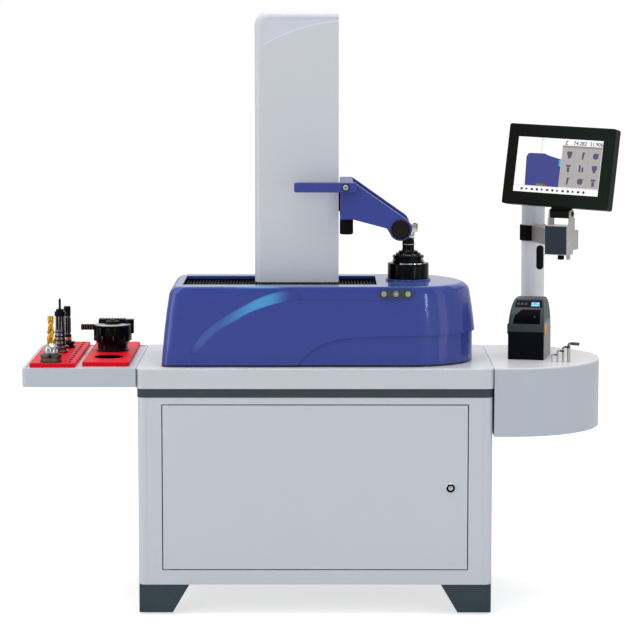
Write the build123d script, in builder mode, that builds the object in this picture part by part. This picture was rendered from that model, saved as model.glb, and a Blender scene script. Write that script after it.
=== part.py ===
from build123d import *
from math import cos, hypot, radians, sin, sqrt
import os

# Tool presetter on its cabinet. Millimetres, +Z up, the user stands at -Y.
# X values below are counted from the middle of the cabinet, which lies at mid_x
# so that the whole machine is centred on the origin, on the floor.

# Cabinet
table_w = 1000.0
table_d = 560.0
table_t = 57.0
table_r = 24.0
table_edge = 4.0
overhang = 4.0
sheet = 3.0
seam = 0.2
foot_h = 80.0
pad_h = 6.0
pad_r = 34.0
foot_top_w = 141.0
foot_bottom_w = 94.0
foot_d = 130.0
foot_inset = 2.0
body_h = 530.0
band_h = 25.0
band_inset = 3.0
side_return = 25.0

# Door and its lock
door_w = 852.0
door_head = 22.0
door_gap = 3.0
door_rise = 44.0
door_t = 20.0
door_pin_r = 3.0
door_pin_in = 12.0
door_pin_back = 8.0
running = 0.05
lip_depth = 22.0
lock_in = 47.0
lock_up = 275.0
lock_r = 13.0
lock_proud = 3.0
lock_barrel_r = 9.0
cam_len = 62.0
cam_w = 16.0
cam_t = 3.0
cam_clear = 1.3

# Inside the cabinet
inner_shelf_up = 250.0
inner_shelf_t = 18.0
computer_w = 210.0
computer_d = 340.0
computer_h = 170.0
computer_x = 260.0
vent_w = 60.0
vent_h = 3.5

# Machine base
axis_y = -60.0
base_left = -431.0
base_h = 226.0
base_half_d = 190.0
base_end_x = 260.0
base_corner_r = 30.0
base_reach = 195.0
base_levels = ((0.0, 0.0, 1.0), (88.0, 8.0, 0.0), (150.0, 15.0, 7.5), (196.0, 22.0, 15.0))
base_round_h = 30.0
base_round_left = 28.0
base_round_right = 38.0
base_round_side = 3.0
cover_wall = 9.0
slot_x0 = -372.0
slot_x1 = 173.0
slot_half_d = 130.0
skirt_step = 4.0
skirt_end_step = 7.0
skirt_line = ((-54, -1), (-34, 26), (0, 53), (41, 71.5), (100, 82), (180, 86.5), (320, 88), (470, 88))
swoosh_upper = (
    (-350, 38),
    (-332, 74),
    (-300, 109),
    (-255, 141),
    (-204, 170),
    (-140, 201),
    (-92, 214),
    (-62, 219),
)
swoosh_lower = (
    (-26, 188.5),
    (-66, 186.5),
    (-114, 177),
    (-156, 164),
    (-188, 151),
    (-220, 132),
    (-268, 103),
    (-300, 74),
    (-330, 36),
)
crease_up = 188.0
crease_w = 1.2
crease_x1 = 272.0
crease_lap = 6.0
swoosh_depth = 2.0
bed_x0 = -365.0
bed_x1 = 165.0
bed_half_d = 115.0
bed_h = 162.0
rail_w = 20.0
rail_h = 18.0
rail_off = 75.0
rail_clear = 0.3

# Spindle and the tool in it
spindle_x = 265.0
housing_r = 58.0
collar_r = 63.5
collar_h = 6.0
cup_r = 58.5
cup_h = 44.0
cup_gap = 0.5
rotor_r = 38.0
rotor_len = 150.0
taper_top_r = 34.0
taper_bottom_r = 20.0
taper_len = 100.0
tool_flange_r = 44.5
tool_flange_h = 22.0
tool_ring_r = 28.5
tool_ring_h = 12.0
tool_neck_r = 17.0
tool_neck_h = 36.0
flange_groove = 5.0

# Buttons
panel_x = 225.0
panel_w = 94.0
panel_h = 23.0
panel_t = 4.0
panel_down = 20.0
button_r = 8.3
button_pitch = 33.5
button_proud = 3.0
button_len = 11.0

# Column on its saddle
col_x0 = -170.0
col_x1 = 66.0
col_half_d = 90.0
col_h = 761.0
col_gap = 3.0
col_wall = 4.0
col_top_r = 42.0
col_edge_r = 20.0
crease_step = 0.8
col_crease = ((24.0, 96.0), (132.0, 48.5), (237.0, 29.5))
saddle_x0 = -142.0
saddle_x1 = 38.0
saddle_half_d = 100.0
saddle_t = 22.0
block_l = 50.0
block_w = 40.0
block_h = 33.0
beam_x0 = -125.0
beam_x1 = 15.0
beam_half_d = 60.0
beam_wall = 8.0
z_rail_w = 15.0
z_rail_t = 15.0
z_rail_off = 35.0
z_block_t = 29.0
z_block_w = 34.0
z_block_l = 46.0
fold_pitch = 14.0
x_fold_h = 12.0
z_fold_t = 12.0
fold_skin = 2.0

# Optics carriage, heights counted from the top of the machine base
root_low = 183.0
root_top = 288.0
plate_t = 12.0
spacer_low = 203.0
spacer_top = 258.0
bridge_x0 = 70.0
bridge_x1 = 106.0
arm_gap_half = 99.0
arm_t = 35.0
lens_x = 239.0
lens_up = 155.0
nose_r = 32.0
barrel_r = 24.0
barrel_clear = 0.1
cap_r = 27.0
cap_proud = 8.0
barrel_in = 9.0
camera_len = 52.0
camera_r = 20.0
handle_x0 = -59.0
handle_x1 = 116.0
handle_up = 274.0
handle_h = 28.0
handle_t = 20.0
handle_clear = 2.0
pivot_x = 85.0
pivot_r = 4.0
pivot_head_r = 7.5
pivot_head_t = 3.0
knob_x = 88.0
knob_r = 19.0
knob_len = 45.0
knob_y = axis_y - 78.0
knob_shaft_r = 5.0

# Console on the right, with the label printer and the keys
console_run = 44.0
console_inset = 7.0
console_h = 188.0
console_top_t = 5.0
console_edge = 2.0
printer_x = 617.0
printer_y = -5.0
printer_turn = -12.0
printer_w = 104.0
printer_d = 160.0
printer_base_h = 79.0
printer_lid_h = 89.0
printer_wall = 4.0
lid_levels = (
    (0.0, 0.0, 0.0, 0.0),
    (0.34, 4.0, 0.0, 1.0),
    (0.68, 22.0, 3.0, 4.0),
    (0.9, 46.0, 10.0, 8.0),
    (1.0, 66.0, 22.0, 12.0),
)
lid_gap = 0.6
latch_w = 3.0
latch_l = 16.0
latch_in = 8.0
latch_low = 72.0
latch_top = 101.0
latch_clear = 0.8
lid_pin_r = 1.5
lid_pin_back = 3.0
knuckle_r = 2.6
knuckle_x = 18.0
knuckle_l = 12.0
knuckle_gap = 0.3
platen_r = 6.0
key_sizes = (4.0, 5.0, 6.0, 8.0)
key_heights = (21.0, 32.0, 43.0, 53.0)
key_legs = (16.0, 21.0, 22.0, 34.0)
key_turn = -40.0
key_x = 672.0
key_y = -127.0
key_pitch = 15.7
key_clear = 0.3

# Display on its pole
pole_x = 641.0
pole_y = 195.0
pole_r = 34.0
pole_wall = 3.0
pole_h = 500.0
pole_flange_r = 45.0
pole_flange_t = 8.0
pole_slot_w = 23.0
pole_slot_h = 74.0
pole_slot_t = 1.2
pole_slot_up = 271.0
clamp_r = 38.0
clamp_up = 320.0
clamp_h = 47.0
link_h = 30.0
link_w = 30.0
link_web_end = 62.0
link_clear = 0.5
eye_r = 25.0
display_x = 688.0
display_y = -70.0
display_up = 552.0
display_turn = -30.0
display_lean = 9.8
display_roll = -1.9
display_w = 331.0
display_h = 231.0
display_t = 36.0
display_edge = 3.0
screen_w = 264.0
screen_h = 157.0
screen_t = 4.0
hinge_drop = 16.0
hinge_back = 30.0
hinge_r = 12.0
hinge_pin_r = 7.0
hinge_side = 9.0
swivel_w = 68.0
swivel_front = 36.0
swivel_mid = 8.0
swivel_back = 44.0
swivel_h = 84.0
swivel_drop = 42.0
swivel_back_low = 12.0
swivel_back_h = 56.0
swivel_pin_r = 8.0
swivel_wall = 3.0
leg_w = 4.0
leg_t = 38.0

# Tray on the left, with its inserts and the stored tools
tray_w = 317.0
tray_inset = 5.0
tray_h = 52.0
tray_drop = 1.0
tray_recess = 2.0
tray_rim = 8.0
insert_y0 = -238.0
insert_y1 = 265.0
right_insert_y0 = -212.0
insert_h = 13.0
left_insert_in = 236.0
left_insert_w = 128.0
right_insert_in = 89.0
right_insert_w = 131.0
pocket_r = 16.0
pocket_places = ((-6.0, -206.0), (-6.0, -105.0), (-1.0, 5.0), (9.0, 120.0), (9.0, 225.0))
peg_r = 5.0
peg_side = 46.0
peg_count = 11
disc_pocket_r = 42.0
disc_ys = (-95.0, 55.0)
shank_clear = 0.3

# Heights and places that follow
body_z = pad_h + foot_h
band_z = body_z + body_h
table_low = band_z + band_h
table_z = table_low + table_t
base_top = table_z + base_h
body_w = table_w - 2 * overhang
body_d = table_d - 2 * overhang
body_front = -body_d / 2
body_back = body_d / 2
door_h = body_h - door_rise - door_head
lock_x = door_w / 2 - lock_in
console_r = table_d / 2 - console_inset
tray_half_d = table_d / 2 - tray_inset
tray_reach = table_w / 2 + tray_w
left_insert_x = -table_w / 2 - left_insert_in
right_insert_x = -table_w / 2 - right_insert_in
pockets = [(left_insert_x + x, y) for x, y in pocket_places]
peg_x = left_insert_x + peg_side
display_reach = (
    display_x
    + display_w / 2 * cos(radians(display_turn))
    - display_t * sin(radians(display_turn))
    + display_h / 2 * sin(radians(display_lean)) * -sin(radians(display_turn))
)
mid_x = (tray_reach - display_reach) / 2


def level(z, x=0.0, y=0.0):
    """A level plane at height z."""
    return Plane(origin=(mid_x + x, y, z), x_dir=(1, 0, 0), z_dir=(0, 0, 1))


def facing(y, x=0.0, z=0.0):
    """An upright plane that faces the user, local x to the right and local y up."""
    return Plane(origin=(mid_x + x, y, z), x_dir=(1, 0, 0), z_dir=(0, -1, 0))


def turned(x, y, z, turn):
    """A level plane whose own -y side faces left of the user by the turn."""
    along = (cos(radians(turn)), sin(radians(turn)), 0)
    return Plane(origin=(mid_x + x, y, z), x_dir=along, z_dir=(0, 0, 1))


def span(x0, x1, y0, y1, mode=Mode.ADD):
    """A rectangle of the open sketch between two pairs of sides."""
    with Locations(((x0 + x1) / 2, (y0 + y1) / 2)):
        Rectangle(x1 - x0, y1 - y0, mode=mode)


def disc(x, y, radius, mode=Mode.ADD):
    """A circle of the open sketch."""
    with Locations((x, y)):
        Circle(radius, mode=mode)


def bar(plane, x0, x1, y0, y1, length, mode=Mode.ADD):
    """A block of the open part, drawn on the plane and raised by the length."""
    with BuildSketch(plane) as outline:
        span(x0, x1, y0, y1)
    extrude(outline.sketch, amount=length, mode=mode)


def rod(plane, x, y, radius, length, mode=Mode.ADD):
    """A round bar or bore of the open part, drawn on the plane."""
    with BuildSketch(plane) as outline:
        disc(x, y, radius)
    extrude(outline.sketch, amount=length, mode=mode)


# Cabinet sides: folded sheets that return round the corners

sides = {}
for name, hand in (("side_left", -1), ("side_right", 1)):
    with BuildPart() as side:
        with BuildSketch(level(body_z)):
            RectangleRounded(body_w, body_d, table_r - overhang)
            RectangleRounded(
                body_w - 2 * sheet, body_d - 2 * sheet, table_r - overhang - sheet, mode=Mode.SUBTRACT
            )
            with Locations((-hand * side_return, 0)):
                Rectangle(body_w, body_d + 2, mode=Mode.SUBTRACT)
        extrude(amount=body_h)
    sides[name] = side

# Front frame: a sheet with a folded lip round the door opening and the two hinge pins

frame_half_w = body_w / 2 - side_return - seam
open_half_w = door_w / 2 + door_gap
door_z = body_z + door_rise
open_z0 = door_z - door_gap
open_z1 = door_z + door_h + door_gap
door_pin_x = -door_w / 2 + door_pin_in
door_pin_y = body_front + door_pin_back
door_pin_len = 1 + door_gap + sheet

with BuildPart() as front_frame:
    with BuildSketch(facing(body_front + sheet)):
        span(-frame_half_w, frame_half_w, body_z, band_z)
        span(-open_half_w, open_half_w, open_z0, open_z1, Mode.SUBTRACT)
    extrude(amount=sheet)
    with BuildSketch(facing(body_front + lip_depth)):
        span(-open_half_w - sheet, open_half_w + sheet, open_z0 - sheet, open_z1 + sheet)
        span(-open_half_w, open_half_w, open_z0, open_z1, Mode.SUBTRACT)
    extrude(amount=lip_depth)
    rod(level(open_z0 - 1), door_pin_x, door_pin_y, door_pin_r, door_pin_len)
    rod(level(open_z1 + 1 - door_pin_len), door_pin_x, door_pin_y, door_pin_r, door_pin_len)

# Door: a folded pan on two short pins, with the lock at its free side

lock_z = door_z + lock_up - door_rise

with BuildPart() as door:
    bar(facing(body_front + door_t), -door_w / 2, door_w / 2, door_z, door_z + door_h, door_t)
    bar(
        facing(body_front + door_t),
        -door_w / 2 + sheet,
        door_w / 2 - sheet,
        door_z + sheet,
        door_z + door_h - sheet,
        door_t - sheet,
        Mode.SUBTRACT,
    )
    for pin_z in (door_z, door_z + door_h - sheet):
        rod(level(pin_z), door_pin_x, door_pin_y, door_pin_r + running, sheet, Mode.SUBTRACT)
    rod(facing(body_front + sheet), lock_x, lock_z, lock_barrel_r + running, sheet, Mode.SUBTRACT)

cam_y = body_front + lip_depth + cam_clear
with BuildPart() as door_lock:
    rod(facing(body_front), lock_x, lock_z, lock_r, lock_proud)
    chamfer(door_lock.edges().sort_by(Axis.Y)[0], 0.8)
    rod(facing(cam_y), lock_x, lock_z, lock_barrel_r, cam_y - body_front)
    rod(facing(cam_y + cam_t), lock_x, lock_z, lock_barrel_r / 2, cam_t)
    bar(
        facing(body_front),
        lock_x - 1,
        lock_x + 1,
        lock_z - 4,
        lock_z + 4,
        lock_proud,
        Mode.SUBTRACT,
    )

with BuildPart() as lock_cam:
    with BuildSketch(facing(cam_y + cam_t)):
        disc(lock_x, lock_z, cam_w / 2)
        span(lock_x - cam_w / 2, lock_x + cam_w / 2, lock_z - cam_len, lock_z)
        disc(lock_x, lock_z, lock_barrel_r / 2, Mode.SUBTRACT)
    extrude(amount=cam_t)

# Cabinet back, floor and shelf, and the computer that runs the machine

with BuildPart() as back_panel:
    bar(facing(body_back), -frame_half_w, frame_half_w, body_z, band_z, sheet)
    with BuildSketch(facing(body_back)):
        with Locations((0, band_z - body_h / 4), (0, body_z + body_h / 4)):
            with GridLocations(2 * vent_w, 4 * vent_h, 5, 4):
                SlotOverall(vent_w, vent_h)
    extrude(amount=sheet, mode=Mode.SUBTRACT)

inner_w = body_w - 2 * sheet - 2 * seam
inner_d = body_d - 2 * sheet - 2 * seam
inner_r = table_r - overhang - sheet
inner_shelf_front = body_front + lip_depth + 30
with BuildPart() as cabinet_floors:
    with BuildSketch(level(body_z)):
        RectangleRounded(inner_w, inner_d, inner_r)
    extrude(amount=sheet)
    bar(
        level(body_z + inner_shelf_up),
        -inner_w / 2,
        inner_w / 2,
        inner_shelf_front,
        body_back - side_return - sheet,
        inner_shelf_t,
    )

computer_front = body_front + 80
with BuildPart() as control_computer:
    bar(
        level(body_z + sheet),
        computer_x - computer_w / 2,
        computer_x + computer_w / 2,
        computer_front,
        computer_front + computer_d,
        computer_h,
    )
    fillet(control_computer.edges().filter_by(Axis.Z), 4)
    bar(
        level(body_z + 2 * sheet),
        computer_x - computer_w / 2 + sheet,
        computer_x + computer_w / 2 - sheet,
        computer_front + 2 * sheet,
        computer_front + computer_d - sheet,
        computer_h - 2 * sheet,
        Mode.SUBTRACT,
    )
    with BuildSketch(facing(computer_front + 2)):
        with Locations((computer_x, body_z + sheet + computer_h * 0.35)):
            with GridLocations(0, 3 * vent_h, 1, 6):
                SlotOverall(computer_w * 0.7, vent_h)
        disc(computer_x + computer_w * 0.35, body_z + sheet + computer_h * 0.82, 6)
    extrude(amount=2, mode=Mode.SUBTRACT)

# Feet on rubber pads

foot_x = body_w / 2 - foot_inset
foot_y = body_d / 2 - foot_inset - foot_d / 2
with BuildPart() as feet:
    for row in (-1, 1):
        with BuildSketch(facing(row * foot_y + foot_d / 2)):
            for hand in (-1, 1):
                with BuildLine():
                    Polyline(
                        (hand * foot_x, pad_h),
                        (hand * foot_x, body_z),
                        (hand * (foot_x - foot_top_w), body_z),
                        (hand * (foot_x - foot_bottom_w), pad_h),
                        close=True,
                    )
                make_face()
        extrude(amount=foot_d)
    fillet(feet.edges().filter_by(Axis.Y).group_by(Axis.Z)[0], 3)

pad_x = foot_x - foot_bottom_w / 2
with BuildPart() as foot_pads:
    with BuildSketch(level(0)):
        with GridLocations(2 * pad_x, 2 * foot_y, 2, 2):
            Circle(pad_r)
    extrude(amount=pad_h)
    fillet(foot_pads.edges().group_by(Axis.Z)[0], 1.5)

# Dark spacer board and the folded tabletop over it

with BuildPart() as spacer_board:
    with BuildSketch(level(band_z)):
        RectangleRounded(table_w - 2 * band_inset, table_d - 2 * band_inset, table_r - band_inset)
    extrude(amount=band_h)

with BuildPart() as tabletop:
    with BuildSketch(level(table_low)):
        RectangleRounded(table_w, table_d, table_r)
    extrude(amount=table_t)
    fillet(tabletop.faces().sort_by(Axis.Z)[-1].edges(), table_edge)
    with BuildSketch(level(table_low)):
        RectangleRounded(table_w - 2 * sheet, table_d - 2 * sheet, table_r - sheet)
    extrude(amount=table_t - 2 * sheet, mode=Mode.SUBTRACT)

# Machine bed under the cover, with the rails that the column runs on

bed_top = table_z + bed_h
with BuildPart() as machine_bed:
    bar(level(table_z), bed_x0, bed_x1, axis_y - bed_half_d, axis_y + bed_half_d, bed_h)
    chamfer(machine_bed.faces().sort_by(Axis.Z)[-1].edges(), 4)

with BuildPart() as x_rails:
    for hand in (-1, 1):
        rail_y = axis_y + hand * rail_off
        bar(level(bed_top), bed_x0 + 8, bed_x1 - 8, rail_y - rail_w / 2, rail_y + rail_w / 2, rail_h)
    chamfer(x_rails.edges().filter_by(Axis.X).group_by(Axis.Z)[-1], 2)


def base_sections(inset):
    """The cover's levels from the table up: height, left end, right reach and half depth."""
    rows = []
    for up, left, right in base_levels:
        rows.append((up, left, right, 0.0))
    last_up, last_left, last_right = base_levels[-1]
    for k in range(1, 6):
        angle = radians(18 * k)
        drop = 1 - cos(angle)
        rows.append(
            (
                last_up + base_round_h * sin(angle),
                last_left + base_round_left * drop,
                last_right + base_round_right * drop,
                base_round_side * drop,
            )
        )
    scale = (base_h - inset) / base_h
    return [
        (
            table_z + up * scale,
            base_left + left + inset,
            base_reach - right - inset,
            base_half_d - side - inset,
        )
        for up, left, right, side in rows
    ]


def base_body(inset):
    """The machine base's outer form, or its inside when inset by the wall."""
    with BuildPart() as body:
        for height, left, reach, half_d in base_sections(inset):
            with BuildSketch(level(height)) as outline:
                span(left, base_end_x, axis_y - half_d, axis_y + half_d)
                fillet(outline.vertices().group_by(Axis.X)[0], base_corner_r - inset)
                with Locations((base_end_x, axis_y)):
                    Ellipse(reach, half_d)
        loft(ruled=True)
    return body


# The lower right of the cover steps in below a line that sweeps up from the table

with BuildPart() as skirt_cut:
    with BuildSketch(facing(axis_y + 2 * base_half_d, 0, table_z)):
        with BuildLine():
            Spline(*skirt_line)
            Polyline(skirt_line[-1], (skirt_line[-1][0], -1), skirt_line[0])
        make_face()
    extrude(amount=4 * base_half_d)
    with BuildSketch(level(table_z - 2)):
        span(base_left, base_end_x, axis_y - base_half_d + skirt_step, axis_y + 3 * base_half_d)
        with Locations((base_end_x, axis_y)):
            Ellipse(base_reach - skirt_end_step, base_half_d - skirt_step)
        span(
            base_end_x,
            base_end_x + 2 * base_reach,
            axis_y + base_half_d - skirt_step,
            axis_y + 3 * base_half_d,
        )
    extrude(amount=base_h + 4, mode=Mode.SUBTRACT)

panel_z = base_top - panel_down
base_front = axis_y - base_half_d
base_outside = base_body(0.0)
base_inside = base_body(cover_wall)
with BuildPart() as base_cover:
    add(base_outside.part)
    add(base_inside.part, mode=Mode.SUBTRACT)
    add(skirt_cut.part, mode=Mode.SUBTRACT)
    bar(
        level(base_top - 2 * cover_wall),
        slot_x0,
        slot_x1,
        axis_y - slot_half_d,
        axis_y + slot_half_d,
        3 * cover_wall,
        Mode.SUBTRACT,
    )
    rod(level(base_top - 2 * cover_wall), spindle_x, axis_y, housing_r + 1, 3 * cover_wall, Mode.SUBTRACT)
    with BuildSketch(facing(base_front + swoosh_depth, 0, table_z)):
        with BuildLine():
            Spline(*swoosh_upper)
            Line(swoosh_upper[-1], swoosh_lower[0])
            Spline(*swoosh_lower)
            Line(swoosh_lower[-1], swoosh_upper[0])
        make_face()
    extrude(amount=2 * swoosh_depth, mode=Mode.SUBTRACT)
    bar(
        facing(base_front + crease_step, 0, table_z),
        swoosh_lower[0][0] - crease_lap,
        crease_x1,
        crease_up,
        crease_up + crease_w,
        2 * crease_step,
        Mode.SUBTRACT,
    )
    for k in (-1, 0, 1):
        rod(
            facing(base_front + button_len - button_proud),
            panel_x + k * button_pitch,
            panel_z,
            button_r + rail_clear,
            button_len,
            Mode.SUBTRACT,
        )

# Start, stop and page buttons in their plate

with BuildPart() as button_panel:
    with BuildSketch(facing(base_front, panel_x, panel_z)):
        RectangleRounded(panel_w, panel_h, panel_h / 3)
        with GridLocations(button_pitch, 0, 3, 1):
            Circle(button_r + rail_clear, mode=Mode.SUBTRACT)
    extrude(amount=panel_t)

button_front = base_front - panel_t - button_proud
buttons = {}
for name, k in (("button_stop", -1), ("button_page", 0), ("button_start", 1)):
    with BuildPart() as button:
        rod(facing(button_front + button_len), panel_x + k * button_pitch, panel_z, button_r, button_len)
        fillet(button.faces().sort_by(Axis.Y)[0].edges(), 1)
    buttons[name] = button

# Spindle housing with its collar, and the rotor with the taper bore

rotor_z = base_top + collar_h + cup_gap
with BuildPart() as spindle_housing:
    rod(level(table_z), spindle_x, axis_y, housing_r, base_h + 0.3)
    rod(level(base_top + 0.3), spindle_x, axis_y, collar_r, collar_h - 0.3)
    fillet(spindle_housing.edges().group_by(Axis.Z)[-1], 1.5)
    rod(
        level(rotor_z - rotor_len - cup_gap),
        spindle_x,
        axis_y,
        rotor_r + running,
        rotor_len + collar_h + 1,
        Mode.SUBTRACT,
    )

with BuildPart() as spindle_rotor:
    rod(level(rotor_z - rotor_len), spindle_x, axis_y, rotor_r, rotor_len)
    rod(level(rotor_z), spindle_x, axis_y, cup_r, cup_h)
    fillet(spindle_rotor.edges().group_by(Axis.Z)[-1], 2.5)
    with BuildSketch(facing(axis_y, spindle_x, rotor_z + cup_h)):
        with BuildLine():
            Polyline(
                (0, 1),
                (taper_top_r, 1),
                (taper_top_r, 0),
                (taper_bottom_r, -taper_len),
                (0, -taper_len),
                close=True,
            )
        make_face()
    revolve(axis=Axis((mid_x + spindle_x, axis_y, 0), (0, 0, 1)), mode=Mode.SUBTRACT)

# Tool holder in the taper, and the boring head clamped on it

tool_z = rotor_z + cup_h + 0.2
tool_neck_z = tool_z + tool_flange_h + tool_ring_h
with BuildPart() as tool_holder:
    with BuildSketch(facing(axis_y, spindle_x, tool_z)):
        with BuildLine():
            Polyline(
                (0, -taper_len + 6),
                (taper_bottom_r - 0.3, -taper_len + 6),
                (taper_top_r - 0.4, 0),
                (tool_flange_r, 0),
                (tool_flange_r, tool_flange_h * 0.36),
                (tool_flange_r - flange_groove, tool_flange_h * 0.45),
                (tool_flange_r - flange_groove, tool_flange_h * 0.6),
                (tool_flange_r, tool_flange_h * 0.7),
                (tool_flange_r, tool_flange_h),
                (tool_ring_r, tool_flange_h),
                (tool_ring_r, tool_flange_h + tool_ring_h),
                (tool_neck_r, tool_flange_h + tool_ring_h),
                (tool_neck_r, tool_flange_h + tool_ring_h + tool_neck_h),
                (0, tool_flange_h + tool_ring_h + tool_neck_h),
                close=True,
            )
        make_face()
    revolve(axis=Axis((mid_x + spindle_x, axis_y, 0), (0, 0, 1)))
    with BuildSketch(level(tool_z, spindle_x, axis_y)):
        with PolarLocations(tool_flange_r, 2):
            Rectangle(14, 16)
    extrude(amount=tool_flange_h, mode=Mode.SUBTRACT)
    with BuildSketch(level(tool_neck_z - tool_ring_h, spindle_x, axis_y)):
        with PolarLocations(tool_ring_r, 6, start_angle=30):
            Circle(3)
    extrude(amount=tool_ring_h, mode=Mode.SUBTRACT)

head_z = tool_neck_z + tool_neck_h
with BuildPart() as boring_head:
    bar(level(head_z, spindle_x), -6, 19, axis_y - 9, axis_y + 9, 12)
    bar(level(head_z + 17, spindle_x), 10, 27, axis_y - 8, axis_y + 8, 25)
    fillet(boring_head.edges().filter_by(Axis.Z), 2)
    bar(level(head_z + 11, spindle_x), 12, 17, axis_y - 6, axis_y + 6, 7)

# Saddle on its runner blocks, and the column beam that stands on it

saddle_low = bed_top + block_h
saddle_top = saddle_low + saddle_t
saddle_mid = (saddle_x0 + saddle_x1) / 2
with BuildPart() as saddle:
    bar(level(saddle_low), saddle_x0, saddle_x1, axis_y - saddle_half_d, axis_y + saddle_half_d, saddle_t)
    chamfer(saddle.edges().filter_by(Axis.Z), 5)

with BuildPart() as saddle_blocks:
    with BuildSketch(level(saddle_low - block_h + 4, saddle_mid, axis_y)):
        with GridLocations(saddle_x1 - saddle_x0 - block_l, 2 * rail_off, 2, 2):
            Rectangle(block_l, block_w)
    extrude(amount=block_h - 4)
    with BuildSketch(level(bed_top, saddle_mid, axis_y)):
        with GridLocations(0, 2 * rail_off, 1, 2):
            Rectangle(2 * (saddle_x1 - saddle_x0), rail_w + 2 * rail_clear)
    extrude(amount=rail_h + rail_clear, mode=Mode.SUBTRACT)

col_low = base_top + col_gap
col_top = col_low + col_h
with BuildPart() as column_beam:
    bar(
        level(saddle_top),
        beam_x0,
        beam_x1,
        axis_y - beam_half_d,
        axis_y + beam_half_d,
        col_top - col_wall - saddle_top,
    )
    bar(
        level(saddle_top),
        beam_x0 + beam_wall,
        beam_x1 - beam_wall,
        axis_y - beam_half_d + beam_wall,
        axis_y + beam_half_d - beam_wall,
        col_top - col_wall - saddle_top,
        Mode.SUBTRACT,
    )


def column_body(inset, past_right):
    """The column cover's outer form, or its inside when inset by the wall."""
    left = col_x0 + inset
    right = col_x1 + past_right
    half_d = col_half_d - inset
    top = col_top - inset
    with BuildPart() as body:
        with BuildSketch(facing(axis_y + half_d)) as outline:
            span(left, right, col_low - past_right, top)
            corner = outline.vertices().group_by(Axis.Y)[-1].sort_by(Axis.X)[0]
            fillet(corner, col_top_r - inset)
        extrude(amount=2 * half_d)
        rounded = body.edges().filter_by(
            lambda e: e.length > 2 * half_d + 1 or e.geom_type == GeomType.CIRCLE
        )
        rounded = rounded.filter_by(lambda e: abs(e.center().X - (mid_x + right)) > 1)
        rounded = rounded.filter_by(lambda e: abs(e.center().Z - (col_low - past_right)) > 1)
        fillet(rounded, col_edge_r - inset)
    return body


column_outside = column_body(0.0, 0.0)
column_inside = column_body(col_wall, 5.0)
with BuildPart() as column_cover:
    add(column_outside.part)
    add(column_inside.part, mode=Mode.SUBTRACT)
    crease = [(col_x0 + run, col_top - down) for run, down in col_crease]
    with BuildSketch(facing(axis_y - col_half_d + crease_step)):
        with BuildLine():
            ThreePointArc(*crease)
            Polyline(
                crease[-1],
                (crease[-1][0], col_top - col_edge_r),
                (col_x0 + col_top_r, col_top - col_edge_r),
                (crease[0][0], col_top - col_top_r),
                crease[0],
            )
        make_face()
    extrude(amount=2 * crease_step, mode=Mode.SUBTRACT)

# Upright rails, runner blocks and the carriage plate

with BuildPart() as z_rails:
    for hand in (-1, 1):
        rail_y = axis_y + hand * z_rail_off
        bar(
            level(col_low + 10),
            beam_x1,
            beam_x1 + z_rail_t,
            rail_y - z_rail_w / 2,
            rail_y + z_rail_w / 2,
            col_h - col_wall - 20,
        )

root_mid = base_top + (root_low + root_top) / 2
block_x1 = beam_x1 + z_block_t
with BuildPart() as z_blocks:
    for hand in (-1, 1):
        rail_y = axis_y + hand * z_rail_off
        for step in (-1, 1):
            low = root_mid + step * (z_block_l / 2 + 3) - z_block_l / 2
            bar(
                level(low),
                beam_x1 + 3,
                block_x1,
                rail_y - z_block_w / 2,
                rail_y + z_block_w / 2,
                z_block_l,
            )
        bar(
            level(root_mid - z_block_l * 2),
            beam_x1,
            beam_x1 + z_rail_t + rail_clear,
            rail_y - z_rail_w / 2 - rail_clear,
            rail_y + z_rail_w / 2 + rail_clear,
            z_block_l * 4,
            Mode.SUBTRACT,
        )

carriage_half_d = col_half_d - col_wall - 4
with BuildPart() as carriage_plate:
    bar(
        level(base_top + root_low),
        block_x1,
        block_x1 + plate_t,
        axis_y - carriage_half_d,
        axis_y + carriage_half_d,
        root_top - root_low,
    )
    bar(
        level(base_top + spacer_low),
        block_x1 + plate_t,
        bridge_x0,
        axis_y - carriage_half_d,
        axis_y + carriage_half_d,
        spacer_top - spacer_low,
    )


def folds(length, height):
    """A zigzag skin in the open sketch, from 0 along its own x, of the given height."""
    count = max(2, round(length / fold_pitch))
    pitch = length / count
    upper = [(0, fold_skin)]
    lower = [(0, 0)]
    for k in range(count):
        upper.append(((k + 0.5) * pitch, height))
        upper.append(((k + 1) * pitch, fold_skin))
        lower.append(((k + 0.5) * pitch, height - fold_skin))
        lower.append(((k + 1) * pitch, 0))
    with BuildLine() as skin_line:
        Polyline(*upper, *reversed(lower), close=True)
    make_face(skin_line.edges())


x_fold_z = base_top - x_fold_h - 2
bellows = {}
for name, start, end in (("bellows_left", slot_x0, saddle_x0), ("bellows_right", saddle_x1, slot_x1)):
    with BuildPart() as skin:
        with BuildSketch(facing(axis_y + slot_half_d - 1, start, x_fold_z)):
            folds(end - start, x_fold_h)
        extrude(amount=2 * slot_half_d - 2)
    bellows[name] = skin

z_fold_x = block_x1 + 2
spans = (
    ("column_bellows_low", col_low, base_top + root_low),
    ("column_bellows_high", base_top + root_top, col_top - col_edge_r),
)
for name, start, end in spans:
    upright = Plane(
        origin=(mid_x + z_fold_x, axis_y - carriage_half_d, start), x_dir=(0, 0, 1), z_dir=(0, 1, 0)
    )
    with BuildPart() as skin:
        with BuildSketch(upright):
            folds(end - start, z_fold_t)
        extrude(amount=2 * carriage_half_d)
    bellows[name] = skin

# The carrier that reaches round the tool: a bridge and two arms

with BuildPart() as arm_bridge:
    bar(
        level(base_top + root_low),
        bridge_x0,
        bridge_x1,
        axis_y - arm_gap_half,
        axis_y + arm_gap_half,
        root_top - root_low,
    )
    rod(
        level(base_top + root_low),
        knob_x,
        knob_y,
        knob_shaft_r + running,
        20,
        Mode.SUBTRACT,
    )


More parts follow.
